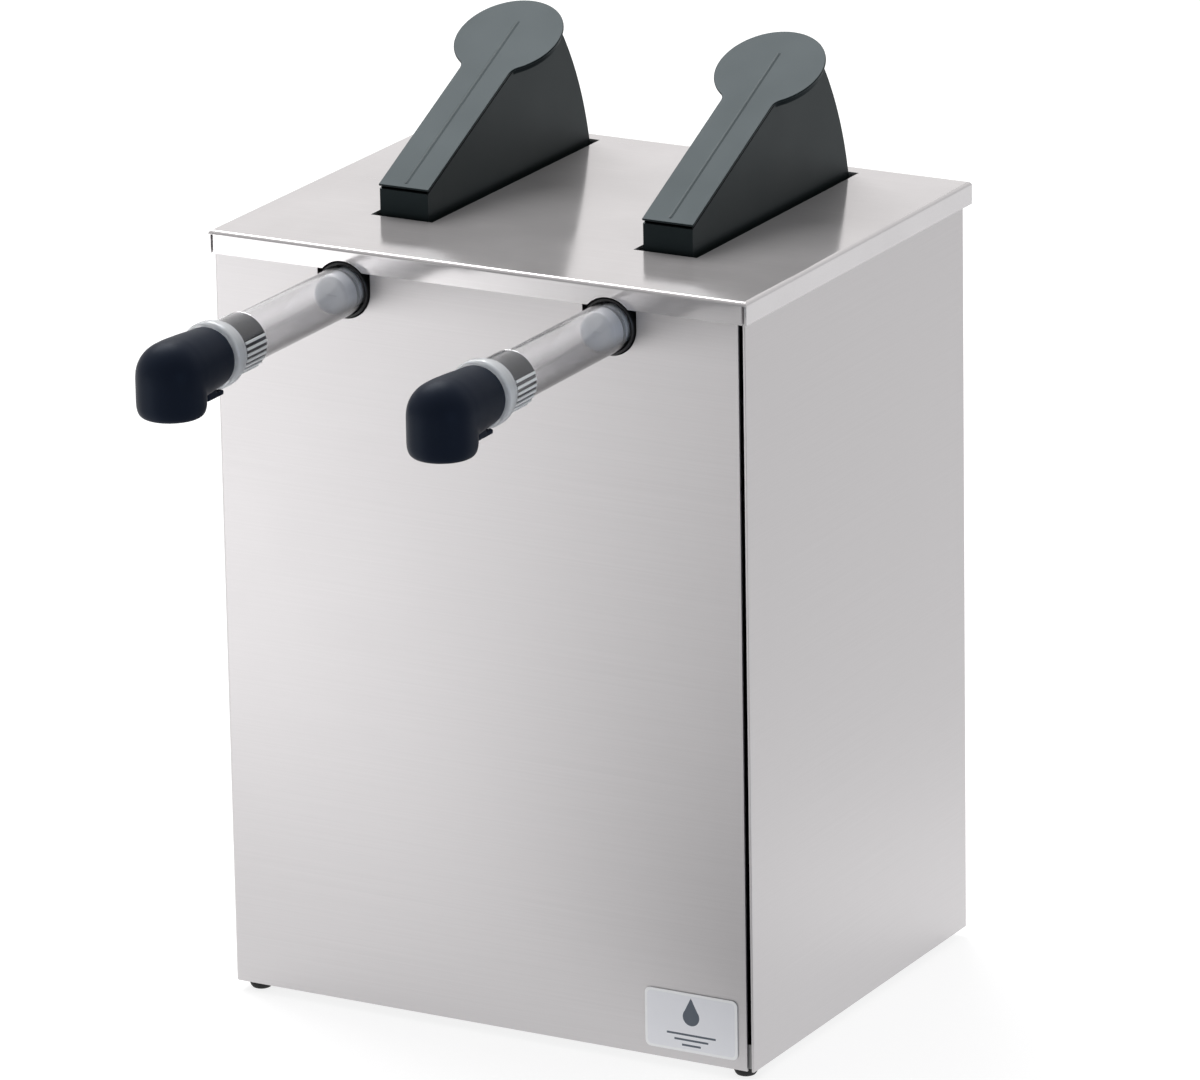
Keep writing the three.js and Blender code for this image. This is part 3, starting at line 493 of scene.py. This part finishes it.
# ---------------------------------------------------------------------------
# Moulded plastics. A mould's fine texture gives every part a soft, slightly uneven sheen, and
# resin varies a little in shade from place to place.
moulded, entry, leave = shared_effect(
    "moulded_grain",
    [("Colour", "NodeSocketColor", (0.1, 0.1, 0.1, 1)), ("Roughness", "NodeSocketFloat", 0.4),
     ("Grain Scale", "NodeSocketFloat", 2400.0), ("Shade", "NodeSocketFloat", 0.1),
     ("Sheen Spread", "NodeSocketFloat", 0.1)],
    [("Colour", "NodeSocketColor"), ("Roughness", "NodeSocketFloat"), ("Height", "NodeSocketFloat")],
)
place = moulded.nodes.new("ShaderNodeTexCoord").outputs["Object"]
pebbles = moulded.nodes.new("ShaderNodeTexNoise")
pebbles.inputs["Detail"].default_value = 3
moulded.links.new(place, pebbles.inputs["Vector"])
moulded.links.new(entry.outputs["Grain Scale"], pebbles.inputs["Scale"])
drift = noise_on(moulded, place, 45, 3)
drift_tone = calculate(moulded, "SUBTRACT", drift, 0.5)
shade = calculate(moulded, "ADD", calculate(moulded, "MULTIPLY", drift_tone, entry.outputs["Shade"]), 1.0)
moulded.links.new(tinted(moulded, entry.outputs["Colour"], shade), leave.inputs["Colour"])
spread = calculate(moulded, "MULTIPLY", drift_tone, entry.outputs["Sheen Spread"])
moulded.links.new(calculate(moulded, "ADD", entry.outputs["Roughness"], spread), leave.inputs["Roughness"])
moulded.links.new(pebbles.outputs["Fac"], leave.inputs["Height"])


def plastic(name, colour, roughness, grain, shade, spread, bump_depth, **shader):
    values = {"Colour": (*colour, 1), "Roughness": roughness, "Grain Scale": grain,
              "Shade": shade, "Sheen Spread": spread}
    return finish_from(moulded, name, values, bump_depth, **shader)


lever_plastic = plastic("lever_slate_plastic", (0.009, 0.012, 0.012), 0.42, 2600, 0.25, 0.08, 0.00002,
                        specular=0.28, tint=(0.66, 0.90, 1.0))
spout_plastic = plastic("spout_satin_black", (0.011, 0.015, 0.026), 0.42, 3200, 0.3, 0.06, 0.00001,
                        specular=0.07, tint=(0.60, 0.78, 1.0))
pump_plastic = plastic("pump_moulded_black", (0.012, 0.012, 0.013), 0.42, 2600, 0.3, 0.08, 0.00001)
white_plastic = plastic("valve_moulded_white", (0.90, 0.93, 0.98), 0.35, 3000, 0.06, 0.06, 0.00001)
seal_silicone = plastic("seal_grey_silicone", (0.42, 0.44, 0.46), 0.55, 2000, 0.1, 0.1, 0.00002)
foot_rubber = plastic("foot_black_rubber", (0.008, 0.008, 0.008), 0.7, 1800, 0.3, 0.1, 0.00004)
clear_plastic = plastic("tube_clear_plastic", (0.98, 0.98, 0.99), 0.09, 900, 0.02, 0.02, 0.000004,
                        transmission=1.0, ior=1.46)
ring_plastic = plastic("ring_frosted_plastic", (0.95, 0.97, 0.99), 0.14, 1200, 0.05, 0.1, 0.00001,
                       transmission=0.55, ior=1.46)
# The ribs' near-white colour is a painted highlight, standing in for the light that clear ribs catch.
rib_painted_highlight_plastic = plastic("rib_white_painted_highlight", (0.93, 0.95, 0.96), 0.2, 1200, 0.05, 0.1, 0.00001,
                      transmission=0.15, ior=1.46)


# The lower half of each clear tube is tinted darker toward the bottom: painted shade.
tube_tree = clear_plastic.node_tree
tube_shader = tube_tree.nodes["Principled BSDF"]
tube_colour = tube_shader.inputs["Base Color"].links[0].from_socket
tube_place = tube_tree.nodes.new("ShaderNodeTexCoord").outputs["Object"]
above_table = distance_along(tube_tree, tube_place, (0, 0, 1))
painted_shade_low = tube_z - 9 * mm
painted_shade_high = tube_z + 1 * mm
painted_shade_tone = fade(tube_tree, above_table, painted_shade_low, painted_shade_high, 0.45, 1.0)
tube_tree.links.new(tinted(tube_tree, tube_colour, painted_shade_tone), tube_shader.inputs["Base Color"])

# ---------------------------------------------------------------------------
# Feet: four push-in rubber buttons. A low dome sits under the tray, a stem goes through it, and a
# barb above holds the foot in.


# A turned piece: a half section of [radius, height] pairs, spun about an upright axis and then
# laid along the case's depth where the real piece lies so.
def turned_shape(section, steps=64):
    shape = bmesh.new()
    points = [shape.verts.new((radius * mm, 0, height * mm)) for radius, height in section]
    edges = [shape.edges.new(pair) for pair in zip(points, points[1:])]
    if section[0][0] > 0 and section[-1][0] > 0:
        edges.append(shape.edges.new((points[-1], points[0])))
    bmesh.ops.spin(shape, geom=points + edges, cent=(0, 0, 0), axis=(0, 0, 1), angle=2 * math.pi,
                   steps=steps, use_merge=True)
    bmesh.ops.remove_doubles(shape, verts=shape.verts, dist=0.000001)
    bmesh.ops.dissolve_degenerate(shape, edges=shape.edges, dist=0.0000001)
    return shape


def turned(name, section, x, y, z=0.0, steps=64):
    shape = turned_shape(section, steps)
    bmesh.ops.translate(shape, verts=shape.verts, vec=(x, y, z))
    return body_from(name, shape)


# The section's heights run along +Y here, counted from y.
def turned_along_y(name, section, x, y, z, steps=64):
    shape = turned_shape(section, steps)
    bmesh.ops.rotate(shape, verts=shape.verts, cent=(0, 0, 0), matrix=Matrix.Rotation(-math.pi / 2, 3, "X"))
    bmesh.ops.translate(shape, verts=shape.verts, vec=(x, y, z))
    return body_from(name, shape)


def torus(name, ring, section, centre, upright, x, y, z):
    loop = []
    sides = 16
    for step in range(sides):
        angle = 2 * math.pi * step / sides
        loop.append((ring + section * math.cos(angle), centre + section * math.sin(angle)))
    make = turned if upright else turned_along_y
    return make(name, loop, x, y, z, 48)


for corner in ("front_left", "front_right", "rear_left", "rear_right"):
    node = "foot_" + corner
    foot_x, foot_y, _ = middle_of(node)
    section = [(0, 0), (3.6, 0), (4.5, 0.4), (5.2, 1.3), (5.8, 2.8), (6.0, 4.5), (5.9, 5.3), (5.4, 5.7),
               (2.4, 5.7), (2.4, 7.5), (4.0, 7.5), (2.4, 11.5), (0, 11.5)]
    foot = turned(node + "_button", section, foot_x, foot_y)
    finish_piece(foot, node, foot_rubber, 40)

# ---------------------------------------------------------------------------
# Front label: a thin printed film with rounded corners at the lower right of the case, and a
# plain printed drop with three bars on it.
label_low, label_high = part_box("front_label")
film_corner = 3 * mm


# Draws out every face of a flat shape, which makes a solid of it.
def extrude(shape, reach):
    grown = bmesh.ops.extrude_face_region(shape, geom=list(shape.faces))["geom"]
    moved = [part for part in grown if isinstance(part, bmesh.types.BMVert)]
    bmesh.ops.translate(shape, verts=moved, vec=reach)


def rounded_plate(name, low, high, corner):
    shape = bmesh.new()
    corners = [(low.x, low.z), (high.x, low.z), (high.x, high.z), (low.x, high.z)]
    points = [shape.verts.new((x, low.y, z)) for x, z in corners]
    shape.faces.new(points)
    round_off(shape, points, corner, "VERTICES")
    extrude(shape, (0, high.y - low.y, 0))
    return body_from(name, shape)


label_film = plastic("label_pearl_film", (0.98, 0.98, 0.98), 0.38, 1500, 0.05, 0.05, 0.000004)
label_ink = plastic("label_grey_ink", (0.11, 0.13, 0.16), 0.5, 1500, 0.1, 0.05, 0.000004)
film = rounded_plate("label_film", label_low, label_high, film_corner)
finish_piece(soften(film, 0.06 * mm), "front_label", label_film)

label_tint = plastic("label_lavender_print", (0.90, 0.90, 0.93), 0.4, 1500, 0.05, 0.05, 0.000004)
border = 1.3 * mm
field_proud = 0.01 * mm
field_root = 0.03 * mm
field_corner = 2.2 * mm
field_low = Vector((label_low.x + border, label_low.y - field_proud, label_low.z + border))
field_high = Vector((label_high.x - border, label_low.y + field_root, label_high.z - border))
field = rounded_plate("label_field", field_low, field_high, field_corner)
finish_piece(field, "front_label", label_tint)


# The drop is most of a circle that closes in a point above it. The bars get shorter downward.
def printed_mark():
    shape = bmesh.new()
    middle = (label_low + label_high) / 2
    face_y = label_low.y - 0.02 * mm
    thickness = 0.04 * mm
    drop_z = middle.z + 3 * mm
    drop_radius = 4.4 * mm
    tip_z = drop_z + 9.5 * mm
    steps = 24
    outline = []
    for step in range(steps + 1):
        angle = math.radians(140 + 260 * step / steps)
        edge_x = middle.x + drop_radius * math.cos(angle)
        edge_z = drop_z + drop_radius * math.sin(angle)
        outline.append(shape.verts.new((edge_x, face_y, edge_z)))
    outline.append(shape.verts.new((middle.x, face_y, tip_z)))
    shape.faces.new(outline)
    thin = 0.5
    for row, half in enumerate((13, 9, 5)):
        z = label_low.z + (8.6 - 2.6 * row) * mm
        bar = [(-half, -thin), (half, -thin), (half, thin), (-half, thin)]
        shape.faces.new([shape.verts.new((middle.x + dx * mm, face_y, z + dz * mm)) for dx, dz in bar])
    extrude(shape, (0, thickness, 0))
    return body_from("label_mark", shape)


mark = printed_mark()
mark.data.materials.append(label_ink)
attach(mark, "case")

# ---------------------------------------------------------------------------
# Pumps. Each side's pieces are made around the same three lines: the tube's axis, the cylinder's
# axis and the lever's pivot.
_, pump_y, _ = middle_of("cylinder_cap_right")
_, pivot_y, pivot_z = middle_of("lever_pivot_pin_right")


def disc(name, radius, z0, z1, x, y, steps=64):
    return turned(name, [(0, z0), (radius, z0), (radius, z1), (0, z1)], x, y, 0, steps)


# Turns an upright piece to lie across the case, as the pins, their eyes and their holes do.
def lay_across(piece, x, y, z):
    piece.data.transform(Matrix.Translation((x, y, z)) @ Matrix.Rotation(math.pi / 2, 4, "Y"))
    return piece


def cross_rod(name, radius, reach, x, y, z, steps=48):
    return lay_across(disc(name, radius, -reach, reach, 0, 0, steps), x, y, z)


def centred_brick(name, x, half, y_span, z_span):
    return brick(name, (x - half, y_span[0], z_span[0]), (x + half, y_span[1], z_span[1]))


# Pump body: one black moulding of cylinder, valve neck, riser and channel. Its round boss shows in
# the case's notch, and the clear tube plugs into the boss.
def pump_body(side, x):
    node = "pump_body_" + side
    low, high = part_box(node)
    shelf_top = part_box("pump_shelf")[1].z / mm
    foot = low.z / mm
    top = high.z / mm
    cylinder_top = 316.0
    cylinder_floor = 252.0
    valve_top = 250.0
    port_z = 257 * mm
    riser_y = pump_y - 31.4 * mm
    boss_front = low.y
    main = disc(node + "_moulding", 20, cylinder_floor - 4, cylinder_top, x, pump_y)
    combine(
        main, "UNION",
        disc("flange", 26, shelf_top + 0.3, shelf_top + 4.3, x, pump_y),
        disc("neck", 10, foot, cylinder_floor, x, pump_y),
        centred_brick("riser", x, 8 * mm, (riser_y - 8 * mm, riser_y + 8 * mm),
                      (250 * mm, tube_z + 8 * mm)),
        centred_brick("web", x, 7.9 * mm, (riser_y, pump_y - 16 * mm), (250.1 * mm, 296 * mm)),
        along_y("channel", 7.95 * mm, case_front, riser_y, x, tube_z),
        centred_brick("saddle", x, 7.8 * mm, (pivot_y - 7 * mm, pivot_y + 7 * mm),
                      (pivot_z - 6 * mm, tube_z)),
    )
    boss = [(0, 0), (12.9, 0), (13.4, 0.5), (13.4, 10), (0, 10)]
    combine(main, "UNION", turned_along_y("boss", boss, x, boss_front, tube_z))
    combine(
        main, "DIFFERENCE",
        disc("bore", 17, cylinder_floor, top + 60, x, pump_y),
        disc("valve", 6.8, foot - 1, valve_top, x, pump_y),
        centred_brick("cage", x, 6 * mm, (pump_y - 1.5 * mm, pump_y + 1.5 * mm), (249 * mm, 260 * mm)),
        centred_brick("cage", x, 1.5 * mm, (pump_y - 6 * mm, pump_y + 6 * mm), (249 * mm, 260 * mm)),
        disc("riser_bore", 5, 253, tube_z / mm, x, riser_y),
        along_y("port", 4 * mm, riser_y, pump_y, x, port_z),
        along_y("channel_bore", 5 * mm, boss_front - mm, riser_y, x, tube_z),
        along_y("socket", 12.3 * mm, boss_front - mm, boss_front + 5 * mm, x, tube_z),
    )
    combine(main, "DIFFERENCE", cross_rod("pin_hole", 2.8, 20, x, pivot_y, pivot_z, 32))
    finish_piece(main, node, pump_plastic)


# Clear discharge tube with a stepped front end, and the white one-way plug in its rear end, which
# shows pale through the wall. A grey seal sits in the plug's groove.
def discharge_line(side, x):
    at = case_front / mm
    section = [(10, 2.7), (12, 2.7), (12, -91.2), (11.7, -91.5), (10.1, -91.5), (10.1, -103.2),
               (9.8, -103.5), (8.3, -103.5), (8.3, -90.5), (10, -87.5)]
    tube = turned_along_y("clear_tube_" + side, section, x, at * mm, tube_z, 96)
    finish_piece(tube, "discharge_tube_" + side, clear_plastic, 40)
    plug = [(0, -13), (3, -13.6), (6.5, -14), (8.0, -14), (9.2, -13.4), (9.7, -12.3), (9.7, -6.4),
            (8.2, -6.4), (8.2, -3.6), (9.7, -3.6), (9.7, 2.7), (4.7, 2.7), (4.7, 15), (3, 15), (3, -11.8),
            (0, -11.2)]
    valve = turned_along_y("white_plug_" + side, plug, x, at * mm, tube_z)
    lips = centred_brick("lips", x, 2.8 * mm, ((at - 15) * mm, (at - 10) * mm),
                         (tube_z - 0.15 * mm, tube_z + 0.15 * mm))
    combine(valve, "DIFFERENCE", lips)
    finish_piece(valve, "discharge_valve_" + side, white_plastic)
    ring = torus("plug_seal_" + side, 9.1, 0.6, -5, False, x, at * mm, tube_z)
    finish_piece(ring, "tube_seal_" + side, seal_silicone, 60)


# Clear ribbed nut over the spout's black sleeve: narrow ribs, coloured near-white as a painted highlight
# where they catch the light, and the black shows between them. A smooth frosted ring with a small step sits
# in front of it.
def clear_nut(side, x):
    low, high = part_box("spout_collar_" + side)
    length = (high.y - low.y) / mm
    section = [(12.9, 0), (13.1, 0), (13.4, 0.3), (13.4, length - 0.3), (13.1, length), (12.9, length)]
    nut = turned_along_y("ribbed_nut_" + side, section, x, low.y, tube_z, 96)
    finish_piece(soften(nut, 0.12 * mm), "spout_collar_" + side, clear_plastic)
    ribs = bmesh.new()
    rib_ring = Matrix.Translation((0, 0, 13.6 * mm))
    rib_size = Matrix.Diagonal((1.3 * mm, (length - 3) * mm, 0.8 * mm, 1))
    nut_middle = Matrix.Translation((x, (low.y + high.y) / 2, tube_z))
    for degrees_from_top in range(70, 150, 12):
        for way in (-1, 1):
            turn = Matrix.Rotation(math.radians(way * degrees_from_top), 4, "Y")
            bmesh.ops.create_cube(ribs, size=1, matrix=nut_middle @ turn @ rib_ring @ rib_size)
    nut_ribs = soften(body_from("nut_ribs_" + side, ribs), 0.15 * mm)
    finish_piece(nut_ribs, "spout_collar_" + side, rib_painted_highlight_plastic)
    low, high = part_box("spout_ring_" + side)
    length = (high.y - low.y) / mm
    section = [(12.9, 0), (14.6, 0), (15.5, 0.35), (16.0, 1.2), (16.0, 4.8), (15.6, 5.6), (14.8, 6.1),
               (14.8, length - 0.5), (14.4, length), (12.9, length)]
    ring = turned_along_y("flanged_ring_" + side, section, x, low.y, tube_z, 96)
    finish_piece(ring, "spout_ring_" + side, ring_plastic, 45)


# Black spout: a barrel that swells into a round knee and turns down, with a soft rim at the outlet.
# A tab under the ring keys it, and a thin sleeve runs back inside the nut.
def spout(side, x):
    node = "spout_" + side
    low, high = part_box(node)
    drop_y = low.y + 16.2 * mm
    barrel_rear = case_front - 121.5 * mm
    reach = (barrel_rear - drop_y) / mm
    barrel = [(0, 0), (16.2, 0), (16.2, 6), (15.6, 16), (14.8, 26), (14.3, reach - 0.8), (13.7, reach),
              (0, reach)]
    outer = turned_along_y("spout_elbow_" + side, barrel, x, drop_y, tube_z)
    knee = bmesh.new()
    bmesh.ops.create_uvsphere(knee, u_segments=64, v_segments=32, radius=16.15 * mm,
                              matrix=Matrix.Translation((x, drop_y, tube_z)))
    foot = low.z / mm
    drop = [(0, foot), (12.4, foot), (14.2, foot + 0.6), (15.4, foot + 2.0), (16.1, foot + 4.6),
            (16.2, foot + 7), (16.2, tube_z / mm), (0, tube_z / mm)]
    combine(
        outer, "UNION",
        body_from("knee", knee),
        turned("drop", drop, x, drop_y),
        centred_brick("tab", x, 4 * mm, (barrel_rear - 8 * mm, barrel_rear + 6 * mm),
                      (tube_z - 19.1 * mm, tube_z - 16.4 * mm)),
        centred_brick("tab_root", x, 4 * mm, (barrel_rear - 8 * mm, barrel_rear - 0.4 * mm),
                      (tube_z - 18 * mm, tube_z - 12 * mm)),
    )
    even = outer.modifiers.new("even", "REMESH")
    even.mode = "VOXEL"
    even.voxel_size = 0.55 * mm
    relax = outer.modifiers.new("relax", "SMOOTH")
    relax.factor = 0.5
    relax.iterations = 22
    settle(outer)
    combine(outer, "UNION", along_y("sleeve", 12.6 * mm, barrel_rear - mm, high.y, x, tube_z, 96))
    hollow = bmesh.new()
    bmesh.ops.create_uvsphere(hollow, u_segments=48, v_segments=24, radius=13.6 * mm,
                              matrix=Matrix.Translation((x, drop_y, tube_z)))
    combine(
        outer, "DIFFERENCE",
        along_y("sleeve_bore", 10.4 * mm, case_front - 105.5 * mm, high.y + mm, x, tube_z, 96),
        along_y("flow_bore", 8.3 * mm, drop_y, case_front - 104 * mm, x, tube_z),
        body_from("knee_hollow", hollow),
        disc("outlet", 13.55, foot - 2, tube_z / mm, x, drop_y),
    )
    finish_piece(outer, node, spout_plastic, 50)
    valve = disc("drip_valve_" + side, 13.3, foot + 3, foot + 5.5, x, drop_y)
    slit = 0.4 * mm
    for half_x, half_y in ((slit, 6 * mm), (6 * mm, slit)):
        cut = centred_brick("slit", x, half_x, (drop_y - half_y, drop_y + half_y),
                            ((foot + 2) * mm, (foot + 7) * mm))
        combine(valve, "DIFFERENCE", cut)
    finish_piece(valve, "spout_valve_" + side, seal_silicone)


# Valve gear and plunger: white cap, connector and plunger, steel ball, grey seals and ground pins.
def pump_gear(side, x):
    cap = [(6.4, 312), (16.7, 312), (16.7, 316.3), (20.3, 316.3), (20.3, 306), (22.2, 306), (22.2, 319.6),
           (21, 322), (6.4, 322)]
    finish_piece(soften(turned("screw_cap_" + side, cap, x, pump_y), 0.3 * mm),
                 "cylinder_cap_" + side, white_plastic)
    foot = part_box("suction_fitting_" + side)[0].z / mm
    neck = foot + 25
    nose = [(4, foot), (5.5, foot), (6.4, foot + 1.2), (7, foot + 3), (7, foot + 5), (6, foot + 5),
            (6, foot + 8), (7, foot + 8), (7, foot + 12), (8, foot + 13), (8, foot + 15), (7, foot + 16),
            (7, foot + 21), (12.5, foot + 21), (12.5, neck + 9), (10.3, neck + 9), (10.3, neck - 0.3),
            (6.5, neck - 0.3), (6.5, neck + 3), (4, neck + 3)]
    finish_piece(soften(turned("pouch_connector_" + side, nose, x, pump_y), 0.15 * mm),
                 "suction_fitting_" + side, white_plastic)
    finish_piece(torus("nose_seal_" + side, 7.4, 1.1, foot + 6.5, True, x, pump_y, 0),
                 "fitting_seal_" + side, seal_silicone, 60)
    ball_z = middle_of("inlet_ball_" + side)[2]
    ball = bmesh.new()
    bmesh.ops.create_uvsphere(ball, u_segments=40, v_segments=20, radius=5.5 * mm,
                              matrix=Matrix.Translation((x, pump_y, ball_z)))
    finish_piece(body_from("steel_ball_" + side, ball), "inlet_ball_" + side, pin_steel, 60)
    pin_z = middle_of("plunger_pin_" + side)[2]
    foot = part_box("plunger_" + side)[0].z / mm
    rod = [(0, foot), (16.2, foot), (16.6, foot + 0.4), (16.6, foot + 4), (14.4, foot + 4),
           (14.4, foot + 7.4), (16.6, foot + 7.4), (16.6, foot + 11.6), (16.2, foot + 12), (6, foot + 12),
           (6, pin_z / mm), (0, pin_z / mm)]
    plunger = turned("piston_and_rod_" + side, rod, x, pump_y)
    head = centred_brick("head", x, 7 * mm, (pump_y - 5.95 * mm, pump_y + 5.95 * mm),
                         (pin_z - 6 * mm, pin_z + 6 * mm))
    combine(plunger, "UNION", head)
    combine(plunger, "DIFFERENCE", cross_rod("pin_hole", 2.8, 18, x, pump_y, pin_z, 32))
    finish_piece(plunger, "plunger_" + side, white_plastic)
    finish_piece(torus("piston_seal_" + side, 15.7, 1, foot + 5.7, True, x, pump_y, 0),
                 "plunger_seal_" + side, seal_silicone, 60)
    for node, y, z in (("lever_pivot_pin_", pivot_y, pivot_z), ("plunger_pin_", pump_y, pin_z)):
        low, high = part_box(node + side)
        half = (high.x - low.x) / 2 / mm
        section = [(0, -half), (2.1, -half), (2.5, -half + 0.4), (2.5, half - 0.4), (2.1, half), (0, half)]
        pin = lay_across(turned(node + "ground_" + side, section, 0, 0, 0, 40), x, y, z)
        finish_piece(pin, node + side, pin_steel)


# Return spring: round stainless wire wound on a helix under the piston.
def return_spring(side, x):
    node = "return_spring_" + side
    low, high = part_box(node)
    wire = 0.8 * mm
    coil_radius = 12.5 * mm
    turns = 6.5
    steps_per_turn = 36
    shape = bmesh.new()
    start = Matrix.Translation((coil_radius, 0, low.z + wire)) @ Matrix.Rotation(math.pi / 2, 4, "X")
    section = bmesh.ops.create_circle(shape, cap_ends=False, segments=10, radius=wire, matrix=start)
    ring = section["verts"] + list(shape.edges)
    steps = int(steps_per_turn * turns)
    rise = (high.z - low.z - 2 * wire) / steps
    bmesh.ops.spin(shape, geom=ring, cent=(0, 0, 0), axis=(0, 0, 1), dvec=(0, 0, rise),
                   angle=2 * math.pi * turns, steps=steps, use_merge=False)
    ends = [edge for edge in shape.edges if edge.is_boundary]
    bmesh.ops.holes_fill(shape, edges=ends, sides=0)
    bmesh.ops.translate(shape, verts=shape.verts, vec=(x, pump_y, 0))
    spring = body_from("wound_spring_" + side, shape)
    finish_piece(spring, node, wire_steel, 60)
    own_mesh(spring)


# ---------------------------------------------------------------------------
# Hand lever: a slate-black moulding. Its top plate runs up at 25.6 degrees into a round palm pad and
# overhangs the walls a little above a shadow groove. The rear wall is an arc about the pivot.
lever_slope = math.radians(25.6)
lever_front = case_front + 57 * mm
lever_top_front = lid_high.z + 14.6 * mm
rear_radius = 157.5 * mm
wall_foot = lid_high.z - 9 * mm
pad_y = case_front + 160 * mm
pad_radius = 27 * mm


def side_outline(name, points, half_width, x):
    shape = bmesh.new()
    shape.faces.new([shape.verts.new((x - half_width, y, z)) for y, z in points])
    extrude(shape, (2 * half_width, 0, 0))
    return body_from(name, shape)


# The lever seen from its side, set in by inset and with its top edge lowered by drop. The rear end
# of the top edge is where it meets the arc, which a few rounds of closing in find.
def lever_outline(inset, drop, foot=wall_foot):
    front = lever_front + inset
    radius = rear_radius - inset
    lowered = drop / math.cos(lever_slope)
    rounds = 40
    steps = 24

    def plate_at(y):
        return lever_top_front + math.tan(lever_slope) * (y - lever_front) - lowered

    top_rear = pad_y
    for _ in range(rounds):
        top_rear = pivot_y + math.sqrt(radius ** 2 - (plate_at(top_rear) - pivot_z) ** 2)
    low_turn = math.asin((foot - pivot_z) / radius)
    high_turn = math.asin((plate_at(top_rear) - pivot_z) / radius)
    points = [(front, foot)]
    for step in range(steps + 1):
        angle = low_turn + (high_turn - low_turn) * step / steps
        points.append((pivot_y + radius * math.cos(angle), pivot_z + radius * math.sin(angle)))
    points.append((front, plate_at(front)))
    return points


def plate_place(x):
    return Matrix.Translation((x, lever_front, lever_top_front)) @ Matrix.Rotation(lever_slope, 4, "X")


# The top plate seen square on: a strip that runs into the round pad through a small fillet.
def top_plate(name, half_width, pad, thickness, x):
    shape = bmesh.new()
    fillet = 6 * mm
    pad_at = (pad_y - lever_front) / math.cos(lever_slope)
    side = half_width + fillet
    fillet_at = pad_at - math.sqrt((pad + fillet) ** 2 - side ** 2)
    meet = math.atan2(pad_at - fillet_at, side)
    fillet_steps = 6
    pad_steps = 32
    right_edge = [(half_width, 0)]
    for step in range(fillet_steps + 1):
        angle = math.pi - meet * step / fillet_steps
        right_edge.append((side + fillet * math.cos(angle), fillet_at + fillet * math.sin(angle)))
    for step in range(1, pad_steps + 1):
        angle = -meet + (math.pi / 2 + meet) * step / pad_steps
        right_edge.append((pad * math.cos(angle), pad_at + pad * math.sin(angle)))
    left_edge = [(-a, b) for a, b in reversed(right_edge[:-1])]
    shape.faces.new([shape.verts.new((a, b, 0)) for a, b in right_edge + left_edge])
    extrude(shape, (0, 0, -thickness))
    bmesh.ops.transform(shape, matrix=plate_place(x), verts=shape.verts)
    return body_from(name, shape)


def hand_lever(side, x):
    node = "pump_lever_" + side
    half = lever_width / 2
    wall = 2.4 * mm
    overhang = 0.45 * mm
    groove_top = 1.2 * mm
    groove_foot = 2.2 * mm
    groove_depth = 1.1 * mm
    pin_z = middle_of("plunger_pin_" + side)[2]
    walls = side_outline("lever_moulding_" + side, lever_outline(overhang, groove_foot), half - overhang, x)
    neck_outline = lever_outline(groove_depth, 0.5 * mm, wall_foot + 1.1 * mm)
    neck = side_outline("neck", neck_outline, half - groove_depth, x)
    ear_outline = [(pivot_y - 8.4 * mm, pivot_z), (pivot_y + 8.4 * mm, pivot_z),
                   (pivot_y + 21 * mm, wall_foot + mm), (lever_front + 0.5 * mm, wall_foot + mm)]
    ear = side_outline("ear", ear_outline, half - 0.5 * mm, x)
    tab_top = wall_foot + 1.2 * mm
    tab_outline = [(pump_y - 8 * mm, pin_z), (pump_y + 8 * mm, pin_z),
                   (pump_y + 12.8 * mm, tab_top), (pump_y - 12.8 * mm, tab_top)]
    tab = side_outline("tab", tab_outline, half - 0.55 * mm, x)
    eye_reach = half / mm - 0.6
    combine(
        walls, "UNION", neck, ear,
        cross_rod("eye", 8.45, eye_reach, x, pivot_y, pivot_z), tab,
        cross_rod("eye", 7.95, eye_reach, x, pump_y, pin_z),
    )
    hollow_half = half - wall
    combine(
        walls, "DIFFERENCE",
        side_outline("hollow", lever_outline(wall, 4 * mm, wall_foot - mm), hollow_half, x),
        centred_brick("under", x, hollow_half - 0.02 * mm, (pivot_y - 30 * mm, lid_high.y),
                      (pivot_z - 60 * mm, wall_foot + 0.5 * mm)),
        cross_rod("pivot_hole", 2.8, 20, x, pivot_y, pivot_z),
    )
    slot_turn = math.radians(11)
    slot = centred_brick("pin_slot", 0, 16 * mm, (-4.5 * mm, 4.5 * mm), (-2.8 * mm, 2.8 * mm))
    slot.data.transform(Matrix.Translation((x, pump_y, pin_z)) @ Matrix.Rotation(slot_turn, 4, "X"))
    combine(walls, "DIFFERENCE", slot)
    cap = soften(top_plate("cap", half, pad_radius, groove_top, x), 0.35 * mm, 3)
    settle(cap)
    pad_drop = 0.4 * mm
    pad_inset = 1.5 * mm
    pad = top_plate("pad", half - groove_depth - 0.05 * mm, pad_radius - pad_inset, 3.6 * mm, x)
    pad.data.transform(Matrix.Translation((0, 0, -pad_drop)))
    trim = centred_brick("trim", x, 40 * mm, (lever_front - 20 * mm, lever_front + groove_depth),
                         (lid_high.z - 20 * mm, lid_high.z + 60 * mm))
    combine(pad, "DIFFERENCE", trim)
    combine(walls, "UNION", pad, cap)
    finish_piece(soften(walls, 0.12 * mm, 1, 50), node, lever_plastic, 38)


# A faint ridge runs up the middle of the top plate, and is moulded with it.
def lever_ridge(side, x):
    half_width = 1.1 * mm
    rise = 0.2 * mm
    root = -0.3 * mm
    start = 3 * mm
    length = 122 * mm
    shape = bmesh.new()
    section = [(-half_width, root), (half_width, root), (half_width, 0), (0, rise), (-half_width, 0)]
    shape.faces.new([shape.verts.new((a, start, b)) for a, b in section])
    extrude(shape, (0, length, 0))
    ridge = body_from("lever_ridge_" + side, shape)
    ridge.data.transform(plate_place(x))
    finish_piece(ridge, "pump_lever_" + side, lever_plastic, 5)


for side, x in (("left", -pump_x), ("right", pump_x)):
    pump_body(side, x)
    discharge_line(side, x)
    clear_nut(side, x)
    spout(side, x)
    pump_gear(side, x)
    return_spring(side, x)
    hand_lever(side, x)
    lever_ridge(side, x)
